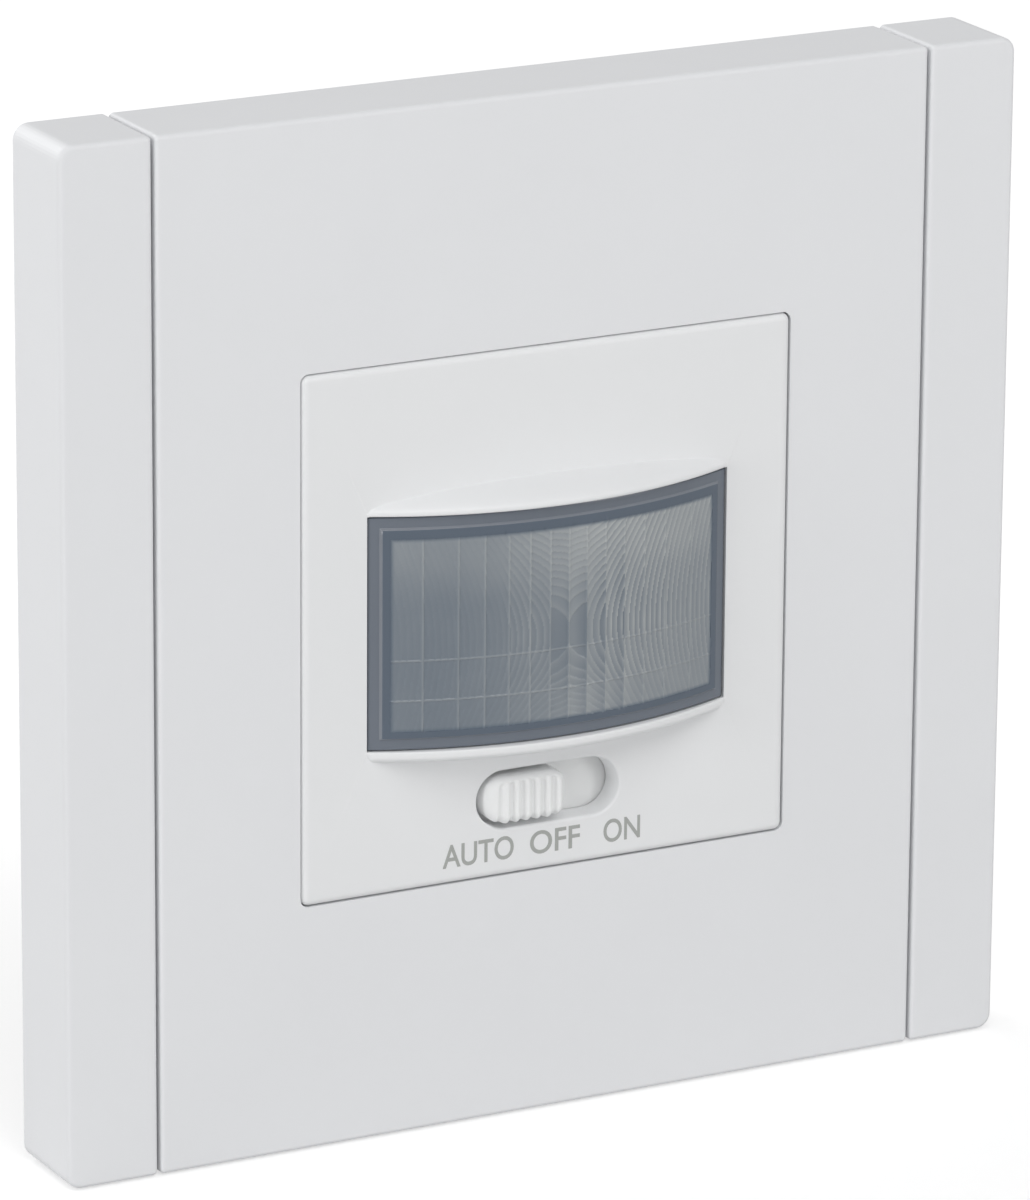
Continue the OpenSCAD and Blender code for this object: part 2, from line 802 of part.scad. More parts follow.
// The two ears beside the housing that hold the pin of the left claw
module claw_ears() {
    side = claw_w/2 + claw_play;
    difference() {
        for (s = [-1, 1])
            translate([0, 0, claw_drop + s*(side + ear_t/2)])
                block([claw_at[0] - ear_reach, claw_at[1] - ear_reach, -ear_t/2],
                      [-housing_size/2 + root, claw_at[1] + ear_reach, ear_t/2]);
        rod_z(claw_at, claw_drop - claw_w - ear_t, claw_drop + claw_w + ear_t, claw_pin_r + thread_fit);
    }
}

module rear_housing() {
    inner = housing_size - 2*housing_wall;
    color(housing_black)
        difference() {
            union() {
                difference() {
                    union() {
                        slab(0, housing_depth) round_rect(housing_size, housing_size, housing_corner_r);
                        slab(0, flange_t) round_rect(flange_size, flange_size, flange_corner_r);
                    }
                    slab(-cut, housing_in) round_rect(inner, inner, housing_corner_r - housing_wall);
                }
                four_times(joint_at)
                    rod_y([0, 0], sensor_back, housing_in + root, tube_r);
                for (s = [-1, 1]) {
                    rod_y([s*power_screw_at[0], power_screw_at[1]], power_back, housing_in + root,
                          power_post_r);
                    rod_y([s*top_post_at[0], top_post_at[1]], power_back, housing_in + root,
                          power_post_r);
                }
                claw_ears();
                other_side() claw_ears();
            }
            four_times(joint_at) {
                rod_y([0, 0], sensor_back - cut, housing_depth + cut, joint_screw_r + screw_fit);
                rod_y([0, 0], joint_head_y, housing_depth + cut, joint_head_r + screw_fit);
            }
            for (s = [-1, 1])
                rod_y([s*power_screw_at[0], power_screw_at[1]], power_back - cut, housing_in,
                      power_screw_r + thread_fit);
            block([-terminal_half[0] - window_fit, housing_in - cut, terminal_bottom - window_fit],
                  [terminal_half[0] + window_fit, housing_depth + cut, terminal_top + window_fit]);
            for (i = [0:vent_count - 1])
                translate([(i - (vent_count - 1)/2)*vent_pitch, 0, 0])
                    block([-vent_w/2, vent_y[0], inner/2 - cut],
                          [vent_w/2, vent_y[1], housing_size/2 + cut]);
        }
}

module housing_screws() {
    color(steel)
        four_times(joint_at) {
            rod_y([0, 0], sensor_front - joint_thread_l + root, joint_head_y + root, joint_screw_r);
            difference() {
                rod_y([0, 0], joint_head_y, joint_head_y + joint_head_h, joint_head_r);
                translate([0, joint_head_y + joint_head_h, 0])
                    rotate([180, 0, 0]) cross_recess([0, 0], 0, joint_head_r*recess_share);
            }
        }
}

// A board's outline with round corners
module board_blank(y0) {
    slab(y0, y0 + board_t) round_rect(board_size, board_size, board_corner_r);
}

// Holes for a list of leads
module lead_holes(places, y0) {
    for (p = places)
        rod_y(p, y0 - cut, y0 + board_t + cut, lead_r + lead_fit);
}

module sensor_board() {
    color(board_green)
        difference() {
            board_blank(sensor_front);
            four_times(joint_at)
                rod_y([0, 0], sensor_front - cut, sensor_back + cut, joint_screw_r + screw_fit);
            lead_holes(concat(pir_lead_at, light_lead_at, trimmer_lead_at, switch_pin_at, header_at),
                       sensor_front);
        }
}

module pir_can() {
    top = sensor_front - pir_spacer_t - pir_flange_t;
    color(tin)
        difference() {
            rod_y([0, 0], top - pir_h, top, pir_r);
            rod_y([0, 0], top - pir_h + pir_wall, top + cut, pir_r - pir_wall);
            block([-pir_window_size[0]/2, top - pir_h - cut, -pir_window_size[1]/2],
                  [pir_window_size[0]/2, top, pir_window_size[1]/2]);
        }
}

module pir_window() {
    front = sensor_front - pir_spacer_t - pir_flange_t - pir_h;
    half = pir_window_size/2 - [pir_fit, pir_fit];
    color(filter_dark) block([-half[0], front, -half[1]], [half[0], front + pir_wall, half[1]]);
}

module pir_base() {
    back = sensor_front - pir_spacer_t;
    color(tin) {
        rod_y([0, 0], back - pir_flange_t, back, pir_flange_r);
        rod_y([0, 0], back - pir_flange_t - pir_h/2, back - pir_flange_t + root, pir_r - pir_wall - pir_fit);
    }
}

module pir_spacer() {
    color(housing_black)
        difference() {
            rod_y([0, 0], sensor_front - pir_spacer_t, sensor_front, pir_flange_r);
            for (p = pir_lead_at)
                rod_y(p, sensor_front - pir_spacer_t - cut, sensor_front + cut, lead_r + lead_fit);
        }
}

module light_sensor() {
    color(cell_amber) {
        rod_y(light_at, sensor_front - light_h + light_r, sensor_front, light_r);
        translate([light_at[0], sensor_front - light_h + light_r, light_at[1]])
            rotate([90, 0, 0])
                rotate_extrude()
                    intersection() {
                        circle(light_r);
                        square(light_r);
                    }
    }
}

module switch_case() {
    half = switch_size/2;
    inner = half - [switch_wall, switch_wall];
    room = [lever_size[0]/2 + slider_travel/2 + slide_fit, lever_size[1]/2 + slide_fit];
    color(tin)
        translate([0, 0, -slot_drop])
            difference() {
                block([-half[0], sensor_front - switch_h, -half[1]],
                      [half[0], sensor_front - switch_base_t, half[1]]);
                block([-inner[0], sensor_front - switch_h + switch_wall, -inner[1]],
                      [inner[0], sensor_front, inner[1]]);
                block([-room[0], sensor_front - switch_h - cut, -room[1]],
                      [room[0], sensor_front, room[1]]);
            }
}

module switch_base() {
    half = switch_size/2;
    color(laminate_brown)
        difference() {
            translate([0, 0, -slot_drop])
                block([-half[0], sensor_front - switch_base_t, -half[1]], [half[0], sensor_front, half[1]]);
            for (p = switch_pin_at)
                rod_y(p, sensor_front - switch_base_t - cut, sensor_front + cut, lead_r + lead_fit);
        }
}

module switch_lever() {
    half = lever_size/2;
    foot = switch_foot/2;
    foot_front = sensor_front - switch_h + switch_wall + slide_fit;
    color(housing_black)
        translate(slider_rest) {
            block([-half[0], lever_tip, -half[1]], [half[0], foot_front + root, half[1]]);
            block([-foot[0], foot_front, -foot[1]], [foot[0], foot_front + switch_foot_t, foot[1]]);
        }
}

module switch_wiper() {
    half = wiper_size/2;
    front = sensor_front - switch_h + switch_wall + slide_fit + switch_foot_t;
    end = sensor_front - switch_base_t - slide_fit - wiper_gap;
    color(brass)
        translate(slider_rest) {
            block([-half[0], front, -half[1]], [half[0], front + wiper_t, half[1]]);
            for (s = [-1, 1])
                rod_z([s*wiper_arm, end - wiper_t], -half[1], half[1], wiper_t);
            for (s = [-1, 1])
                block([s*wiper_arm - wiper_t/2, front, -half[1]],
                      [s*wiper_arm + wiper_t/2, end - wiper_t, half[1]]);
        }
}

module switch_pins() {
    color(brass)
        for (p = switch_pin_at)
            rod_y(p, sensor_front - switch_base_t, sensor_back + lead_tail, lead_r);
}

// A trimmer's body at the right, with a round well and a bore for its dial
module trimmer_body() {
    half = trimmer_size/2;
    front = sensor_front - trimmer_h;
    translate([trimmer_at[0], 0, trimmer_at[1]])
        difference() {
            block([-half, front, -half], [half, sensor_front, half]);
            rod_y([0, 0], front - cut, front + dial_t/2 + dial_fit, dial_r + dial_fit);
            rod_y([0, 0], front, front + dial_t/2 + dial_shaft_l + 2*dial_fit, dial_shaft_r + dial_fit);
        }
}

module lux_trimmer() {
    color(trimmer_blue) mirror([1, 0, 0]) trimmer_body();
}

module time_trimmer() {
    color(trimmer_blue) trimmer_body();
}

// A trimmer's dial at the right: a disc with a cross recess, on a short shaft
module trimmer_dial() {
    front = sensor_front - trimmer_h - dial_t/2;
    at = trimmer_at;
    difference() {
        union() {
            rod_y(at, front, front + dial_t, dial_r);
            rod_y(at, front + dial_t - root, front + dial_t + dial_shaft_l, dial_shaft_r);
        }
        cross_recess(at, front, dial_r*recess_share);
    }
}

module lux_dial() {
    color(dial_ivory) mirror([1, 0, 0]) trimmer_dial();
}

module time_dial() {
    color(dial_ivory) trimmer_dial();
}

module controller_chip() {
    half = chip_size/2;
    color(housing_black)
        translate([chip_at[0], 0, chip_at[1]])
            block([-half[0], sensor_front - chip_lift - chip_h, -half[1]],
                  [half[0], sensor_front - chip_lift, half[1]]);
}

module chip_leads() {
    reach = 1;
    leg = 0.4;
    knee = sensor_front - chip_lift - chip_h/2;
    color(tin)
        for (side = [0, 180], i = [0:chip_lead_count - 1])
            translate([chip_at[0], 0, chip_at[1]])
                rotate([0, side, 0])
                    translate([chip_size[0]/2, 0, (i - (chip_lead_count - 1)/2)*chip_lead_pitch]) {
                        block([0, knee, -leg/2], [reach, knee + leg/2, leg/2]);
                        block([reach - leg/2, knee, -leg/2], [reach, sensor_front, leg/2]);
                    }
}

module sensor_leads() {
    color(tin) {
        for (p = pir_lead_at)
            rod_y(p, sensor_front - pir_spacer_t, sensor_back + lead_tail, lead_r);
        for (p = concat(light_lead_at, trimmer_lead_at))
            rod_y(p, sensor_front, sensor_back + lead_tail, lead_r);
    }
}

module board_header() {
    color(brass)
        for (p = header_at)
            rod_y(p, sensor_front - lead_tail, power_back + lead_tail, lead_r);
}

module power_board() {
    terminal_leads = [for (x = terminal_x) [x, terminal_lead_z]];
    color(board_green)
        difference() {
            board_blank(power_front);
            four_times(joint_at)
                rod_y([0, 0], power_front - cut, power_back + cut, tube_r + screw_fit);
            for (s = [-1, 1])
                rod_y([s*power_screw_at[0], power_screw_at[1]], power_front - cut, power_back + cut,
                      power_screw_r + screw_fit);
            lead_holes(concat(power_lead_at, header_at, terminal_leads), power_front);
        }
}

module board_screws() {
    color(steel)
        for (s = [-1, 1])
            translate([s*power_screw_at[0], 0, power_screw_at[1]])
                difference() {
                    union() {
                        rod_y([0, 0], power_front - power_head_h, power_front, power_head_r);
                        rod_y([0, 0], power_front - root, power_back + post_h - 2*root, power_screw_r);
                    }
                    cross_recess([0, 0], power_front - power_head_h, power_head_r*recess_share);
                }
}

module power_leads() {
    color(tin)
        for (p = power_lead_at)
            rod_y(p, power_front, power_back + lead_tail, lead_r);
}

// Relay parts are drawn in their own place on the board, with h the height above the board
function relay_y(h) = power_front - h;

module relay_place() {
    translate([relay_at[0], 0, relay_at[1]]) children();
}

module relay_base() {
    color(housing_black)
        relay_place()
            block([-relay_l/2, relay_y(relay_base_t), -relay_w/2], [relay_l/2, relay_y(0), relay_w/2]);
}

module relay_case() {
    half = [relay_l/2, relay_w/2];
    color(relay_blue)
        relay_place()
            difference() {
                block([-half[0], relay_y(relay_h), -half[1]], [half[0], relay_y(relay_base_t), half[1]]);
                block([-half[0] + relay_wall, relay_y(relay_h - relay_wall), -half[1] + relay_wall],
                      [half[0] - relay_wall, relay_y(relay_base_t - cut), half[1] - relay_wall]);
            }
}

module relay_yoke() {
    color(steel)
        relay_place() {
            block([yoke_x, relay_y(relay_base_t + yoke_t), -yoke_w/2],
                  [coil_x + pole_r, relay_y(relay_base_t), yoke_w/2]);
            block([yoke_x, relay_y(pivot_h), -yoke_w/2], [yoke_x + yoke_t, relay_y(relay_base_t), yoke_w/2]);
            rod_z([yoke_x + yoke_t/2, relay_y(pivot_h)], -yoke_w/2, yoke_w/2, pivot_r);
            rod_y([coil_x, 0], relay_y(pole_top), relay_y(relay_base_t + yoke_t - root), core_r);
            rod_y([coil_x, 0], relay_y(pole_top), relay_y(coil_h1 + core_fit), pole_r);
        }
}

module relay_bobbin() {
    color(nylon)
        relay_place()
            difference() {
                union() {
                    rod_y([coil_x, 0], relay_y(coil_h1), relay_y(coil_h0), core_r + bobbin_wall);
                    rod_y([coil_x, 0], relay_y(coil_h0 + flange_h), relay_y(coil_h0), bobbin_r);
                    rod_y([coil_x, 0], relay_y(coil_h1), relay_y(coil_h1 - flange_h), bobbin_r);
                }
                rod_y([coil_x, 0], relay_y(coil_h1) - cut, relay_y(coil_h0) + cut, core_r + core_fit);
            }
}

module relay_winding() {
    gap = 0.05;
    y0 = relay_y(coil_h1 - flange_h - gap);
    y1 = relay_y(coil_h0 + flange_h + gap);
    color(copper)
        relay_place()
            difference() {
                rod_y([coil_x, 0], y0, y1, coil_r);
                rod_y([coil_x, 0], y0 - cut, y1 + cut, core_r + bobbin_wall + gap);
            }
}

module relay_armature() {
    color(steel)
        relay_place() {
            block([yoke_x, relay_y(armature_h + armature_t), -yoke_w/2],
                  [armature_end, relay_y(armature_h), yoke_w/2]);
            block([armature_end - cut, relay_y(armature_h + armature_t), -spring_w/2],
                  [contact_x + contact_r, relay_y(armature_h + armature_t - spring_t), spring_w/2]);
            rod_y([contact_x, 0], relay_y(armature_h + armature_t - spring_t/2), relay_y(armature_h),
                  contact_r);
        }
}

module relay_contact() {
    color(brass)
        relay_place() {
            rod_y([contact_x, 0], relay_y(fixed_contact_h), relay_y(fixed_contact_h - contact_h), contact_r);
            block([contact_x - contact_r, relay_y(fixed_contact_h - contact_h + root), -spring_w/2],
                  [contact_x + 2*contact_r, relay_y(fixed_contact_h - 2*contact_h), spring_w/2]);
            block([contact_x + 2*contact_r - contact_h, relay_y(fixed_contact_h - contact_h), -spring_w/2],
                  [contact_x + 2*contact_r, relay_y(relay_base_t), spring_w/2]);
        }
}

module film_capacitor() {
    half = film_size/2;
    color(film_yellow)
        translate([film_at[0], 0, film_at[1]])
            block([-half[0], power_front - film_h, -half[1]], [half[0], power_front, half[1]]);
}

module electrolytic_capacitors() {
    groove = 0.25;
    groove_h = 1.5;
    color(sleeve_navy)
        for (c = can_list)
            translate([c[0], power_front, c[1]])
                rotate([90, 0, 0])
                    difference() {
                        cylinder(h = c[3], r = c[2]);
                        translate([0, 0, groove_h])
                            rotate_extrude() translate([c[2] + groove, 0]) circle(2*groove);
                    }
}

module varistor() {
    lead_x = varistor_t/2;
    y = power_front - varistor_lift - varistor_r;
    color(lacquer_blue)
        translate([varistor_at[0], 0, varistor_at[1]]) {
            rod_x([y, 0], -lead_x, lead_x, varistor_r);
            for (s = [-1, 1])
                rod_y([0, s*varistor_lead], y, power_front, lead_r);
        }
}

// A part with a lead at each end, lying along X on the board
module axial_part(r, l) {
    y = power_front - r;
    end = l/2 + axial_lead;
    rod_x([y, 0], -l/2, l/2, r);
    rod_x([y, 0], -end - lead_r, end + lead_r, lead_r);
    for (s = [-1, 1])
        rod_y([s*end, 0], y, power_front, lead_r);
}

module fuse_resistor() {
    color(resistor_blue) translate([fuse_at[0], 0, fuse_at[1]]) axial_part(fuse_r, fuse_l);
}

module rectifier_diodes() {
    color(diode_black)
        for (d = diode_at)
            translate([d[0], 0, d[1]]) rotate([0, 90, 0]) axial_part(diode_r, diode_l);
}

module terminal_block() {
    room = clamp_half_x + clamp_fit;
    hollow_x = terminal_half[0] - terminal_rim;
    color(terminal_grey)
        difference() {
            block([-terminal_half[0], power_back, terminal_bottom],
                  [terminal_half[0], terminal_end, terminal_top]);
            block([-hollow_x, power_back - cut, terminal_bottom + terminal_rim],
                  [hollow_x, power_back + terminal_hollow, terminal_top - terminal_rim]);
            for (x = terminal_x)
                translate([x, 0, 0]) {
                    block([-room, power_back - cut, clamp_z[0] - clamp_fit],
                          [room, clamp_y[1] + clamp_fit, clamp_z[1] + clamp_fit]);
                    rod_z([0, wire_y], terminal_bottom - cut, clamp_z[0], wire_r);
                    rod_y([0, terminal_screw_z], clamp_y[1], terminal_end + cut,
                          terminal_head_r + clamp_fit);
                }
        }
}

module terminal_clamps() {
    color(brass)
        for (x = terminal_x)
            translate([x, 0, 0]) {
                difference() {
                    block([-clamp_half_x, clamp_y[0], clamp_z[0]], [clamp_half_x, clamp_y[1], clamp_z[1]]);
                    rod_z([0, wire_y], clamp_z[0] - cut, clamp_z[1] - cut, wire_r);
                    rod_y([0, terminal_screw_z], wire_y, clamp_y[1] + cut, terminal_screw_r + thread_fit);
                }
                rod_y([0, terminal_lead_z], power_front - lead_tail, clamp_y[0] + root, lead_r);
            }
}

module terminal_screws() {
    tip = wire_y + wire_r + clamp_fit;
    head = clamp_y[1] + clamp_fit;
    color(steel)
        for (x = terminal_x)
            translate([x, 0, terminal_screw_z])
                difference() {
                    union() {
                        rod_y([0, 0], tip, head + root, terminal_screw_r);
                        rod_y([0, 0], head, head + terminal_head_h, terminal_head_r);
                    }
                    block([-terminal_head_r, head + terminal_head_h - recess_d, -recess_w/2],
                          [terminal_head_r, head + terminal_head_h + cut, recess_w/2]);
                }
}

// The left claw: a knuckle on the pin, an arm out to the screw and a leg back with teeth
module claw() {
    half = claw_w/2;
    leg_x = [claw_at[0] - claw_t/2, claw_at[0] + claw_t/2];
    end_y = claw_at[1] + claw_l;
    slot_mid = (claw_slot[0] + claw_slot[1])/2;
    difference() {
        union() {
            rod_z(claw_at, claw_drop - half, claw_drop + half, claw_knuckle_r);
            block([claw_at[0] - claw_arm_end, claw_at[1] - claw_t/2, claw_drop - half],
                  [claw_at[0], claw_at[1] + claw_t/2, claw_drop + half]);
            block([leg_x[0], claw_at[1], claw_drop - half], [leg_x[1], end_y, claw_drop + half]);
            translate([0, 0, claw_drop - half])
                linear_extrude(height = claw_w)
                    for (i = [0, 1])
                        polygon([[leg_x[0] + root, end_y - i*claw_tooth],
                                 [leg_x[0] - claw_tooth, end_y - i*claw_tooth],
                                 [leg_x[0] + root, end_y - (i + 1)*claw_tooth]]);
        }
        rod_z(claw_at, claw_drop - claw_w, claw_drop + claw_w, claw_bore_r);
        translate([claw_at[0] - slot_mid, 0, claw_drop])
            slab(claw_at[1] - claw_t, claw_at[1] + claw_t)
                square([claw_slot[1] - claw_slot[0], 2*(claw_screw_r + screw_fit)], center = true);
    }
}

module claw_left() {
    color(steel) claw();
}

module claw_right() {
    color(steel) other_side() claw();
}

module claw_pins() {
    reach = claw_w/2 + claw_play + ear_t;
    color(tin)
        for (turn = [0, 180])
            rotate([0, turn, 0]) rod_z(claw_at, claw_drop - reach, claw_drop + reach, claw_pin_r);
}

// The left claw's screw, which hangs by its head in the bridge
module claw_screw() {
    at = [claw_screw_x, claw_drop];
    difference() {
        union() {
            rod_y(at, bridge_y - claw_head_h, bridge_y, claw_head_r);
            rod_y(at, bridge_y - root, claw_screw_end, claw_screw_r);
        }
        cross_recess(at, bridge_y - claw_head_h, claw_head_r*recess_share);
    }
}

module claw_screw_left() {
    color(steel) claw_screw();
}

module claw_screw_right() {
    color(steel) other_side() claw_screw();
}

frame_panel();
frame_strip_left();
frame_strip_right();
frame_carrier();
cover_plate();
fresnel_lens();
lens_retainer();
mode_slider();
head_chassis();
bridge_plate();
rear_housing();
housing_screws();
sensor_board();
pir_can();
pir_window();
pir_base();
pir_spacer();
light_sensor();
switch_case();
switch_base();
switch_lever();
switch_wiper();
switch_pins();
lux_trimmer();
lux_dial();
time_trimmer();
time_dial();
controller_chip();
chip_leads();
sensor_leads();
board_header();
power_board();
board_screws();
power_leads();
relay_base();
relay_case();
relay_bobbin();
relay_winding();
relay_yoke();
relay_armature();
relay_contact();
film_capacitor();
electrolytic_capacitors();
varistor();
fuse_resistor();
rectifier_diodes();
terminal_block();
terminal_clamps();
terminal_screws();
claw_left();
claw_right();
claw_pins();
claw_screw_left();
claw_screw_right();
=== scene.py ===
"""Dressed scene of a motion sensor light switch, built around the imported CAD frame.

The frame's X points to the right, Y into the wall and Z up, and the wall is at Y = 0. Sizes are in
millimetres, as in the part's source, and turn into metres where a mesh is made.
"""

import json
import logging
import math
from dataclasses import dataclass, field
from enum import Enum, IntEnum
from typing import Sequence

import bmesh
import bpy
from mathutils import Matrix, Vector


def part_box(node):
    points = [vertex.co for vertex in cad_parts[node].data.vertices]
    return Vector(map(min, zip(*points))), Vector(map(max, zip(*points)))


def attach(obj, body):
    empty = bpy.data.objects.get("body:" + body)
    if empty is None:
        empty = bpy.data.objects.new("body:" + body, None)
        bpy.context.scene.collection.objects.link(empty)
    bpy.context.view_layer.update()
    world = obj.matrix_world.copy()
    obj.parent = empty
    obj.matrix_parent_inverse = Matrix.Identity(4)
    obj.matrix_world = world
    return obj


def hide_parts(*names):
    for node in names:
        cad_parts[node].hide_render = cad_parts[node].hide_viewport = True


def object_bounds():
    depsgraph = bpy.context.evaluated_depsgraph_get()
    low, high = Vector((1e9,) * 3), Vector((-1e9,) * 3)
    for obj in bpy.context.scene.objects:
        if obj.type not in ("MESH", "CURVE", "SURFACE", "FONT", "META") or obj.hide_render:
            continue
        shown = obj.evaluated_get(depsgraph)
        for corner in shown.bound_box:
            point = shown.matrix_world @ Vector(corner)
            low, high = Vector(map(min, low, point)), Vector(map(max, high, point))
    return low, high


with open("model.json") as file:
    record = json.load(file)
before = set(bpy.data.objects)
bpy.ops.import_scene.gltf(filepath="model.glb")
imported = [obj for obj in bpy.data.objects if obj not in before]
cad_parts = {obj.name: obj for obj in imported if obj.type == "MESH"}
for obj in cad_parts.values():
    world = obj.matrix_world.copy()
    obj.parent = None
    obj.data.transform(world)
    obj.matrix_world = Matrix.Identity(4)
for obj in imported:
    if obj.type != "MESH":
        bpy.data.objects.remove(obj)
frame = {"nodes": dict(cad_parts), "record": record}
CAD_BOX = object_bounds()

log = logging.getLogger("motion_switch")

MM = 0.001
# Name of the mesh layer that holds the lens field's painted light and shade.
PAINTED_LIGHT_NAME = "facet_painted_light"
IMAGE_LONG_SIDE = 1200
FULL_TURN = 2 * math.pi
QUARTER_TURN = FULL_TURN / 4
SLOT_Z = -15.6

Colour = tuple[float, float, float]
Point = tuple[float, float, float]
Flat = tuple[float, float]
Ring = list[bmesh.types.BMVert]
Socket = bpy.types.NodeSocket

WHOLE: Flat = (0.0, 1.0)
NOISE_SPREAD: Flat = (0.3, 0.7)


class Body(str, Enum):
    """The moving groups of the part that new pieces ride on."""

    SWITCH = "switch_body"
    SLIDER = "mode_slider"


class Side(Enum):
    """The two long edges of the lens window, with their direction along Z."""

    UPPER = 1
    LOWER = -1


class Edge(Enum):
    """How wide an edge is broken on a carried-over solid, in millimetres."""

    NONE = 0.0
    FINE = 0.04
    SOFT = 0.12


class LensZone(IntEnum):
    """The zones of the lens's skin, by the numbers of their materials."""

    FIELD = 0
    RIM = 1
    BAND = 2
    STEP = 3


def srgb(red: int, green: int, blue: int) -> Colour:
    """Turns a colour as seen on a screen into the linear one that shaders use.

    Args:
        red: Red from 0 to 255.
        green: Green from 0 to 255.
        blue: Blue from 0 to 255.

    Returns:
        The linear colour.
    """
    def linear(value: int) -> float:
        """One channel on the linear scale."""
        share = value / 255
        return share / 12.92 if share <= 0.04045 else ((share + 0.055) / 1.055) ** 2.4

    return linear(red), linear(green), linear(blue)


def shade(colour: Colour, factor: float) -> Colour:
    """Returns the colour made lighter or darker by a factor."""
    return tuple(min(1.0, channel * factor) for channel in colour)


def ease(value: float, low: float, high: float) -> float:
    """Returns 0 below low and 1 above high, with a smooth step between them."""
    share = min(1.0, max(0.0, (value - low) / (high - low)))
    return share * share * (3 - 2 * share)


def rounding(distance: float, radius: float) -> float:
    """How far a rounded edge lies below its flat face.

    Args:
        distance: Distance from the edge, along the flat face.
        radius: Radius of the rounding.

    Returns:
        The drop, 0 from one radius inwards and the radius at the edge.
    """
    if radius <= 0 or distance >= radius:
        return 0.0
    reach = radius - max(0.0, distance)
    return radius - math.sqrt(radius * radius - reach * reach)


def rounded_square(half: float, corner: float, steps: int = 10) -> list[Flat]:
    """Points of a square with round corners, in X and Z.

    Args:
        half: Half of the square's side.
        corner: Radius of its corners.
        steps: Segments in each corner.

    Returns:
        The points in order round the square.
    """
    points = []
    for turn, (side_x, side_z) in enumerate([(1, 1), (-1, 1), (-1, -1), (1, -1)]):
        for step in range(steps + 1):
            angle = QUARTER_TURN * (turn + step / steps)
            points.append((side_x * (half - corner) + corner * math.cos(angle),
                           side_z * (half - corner) + corner * math.sin(angle)))
    return points


def stadium(half_w: float, half_h: float, turn_steps: int = 32, run_steps: int = 1) -> list[Flat]:
    """Points of a slot shape with round ends, in X and Z.

    Args:
        half_w: Half of its whole width.
        half_h: Half of its height, which is the radius of its ends.
        turn_steps: Segments in each round end.
        run_steps: Segments in each straight side.

    Returns:
        The points in order round the shape.
    """
    points = []
    run = half_w - half_h
    for side in (1, -1):
        for step in range(turn_steps):
            angle = math.pi * (step / turn_steps) - side * QUARTER_TURN
            points.append((side * run + half_h * math.cos(angle), half_h * math.sin(angle)))
        for step in range(run_steps):
            points.append((side * run * (1 - 2 * step / run_steps), side * half_h))
    return points


def direction(azimuth: float, elevation: float) -> Vector:
    """Unit vector from the object to a place round it.

    Args:
        azimuth: Degrees to the right of the object's front.
        elevation: Degrees above the level.

    Returns:
        The vector.
    """
    turn, lift = math.radians(azimuth), math.radians(elevation)
    return Vector((math.sin(turn) * math.cos(lift), -math.cos(turn) * math.cos(lift),
                   math.sin(lift)))


class NodeWork:
    """A node tree that starts empty, with short calls that add nodes and join them."""

    def __init__(self, owner: bpy.types.Material | bpy.types.World) -> None:
        """Empties the node tree of a new material or world."""
        owner.use_nodes = True
        self.tree = owner.node_tree
        self.tree.nodes.clear()

    def add(self, kind: str) -> bpy.types.Node:
        """Adds a node and returns it, by the last part of its type's name."""
        return self.tree.nodes.new(f"ShaderNode{kind}")

    def link(self, source: Socket, target: Socket) -> None:
        """Joins an output to an input."""
        self.tree.links.new(source, target)

    def remap(self, value: Socket, low: float, high: float,
              source: Flat = NOISE_SPREAD) -> Socket:
        """Maps a value from one range to another.

        Args:
            value: The value to map.
            low: What the source's low end becomes.
            high: What the source's high end becomes.
            source: The range that is spread out; values outside it are cut off.

        Returns:
            The mapped value.
        """
        node = self.add("MapRange")
        node.inputs["From Min"].default_value, node.inputs["From Max"].default_value = source
        node.inputs["To Min"].default_value = low
        node.inputs["To Max"].default_value = high
        self.link(value, node.inputs["Value"])
        return node.outputs["Result"]

    def join(self, operation: str, first: Socket, second: Socket | float) -> Socket:
        """Joins two values by a math operation.

        Args:
            operation: Name of the operation.
            first: The first value.
            second: The second value, which may be a plain number.

        Returns:
            The result.
        """
        node = self.add("Math")
        node.operation = operation
        self.link(first, node.inputs[0])
        if isinstance(second, Socket):
            self.link(second, node.inputs[1])
        else:
            node.inputs[1].default_value = second
        return node.outputs[0]


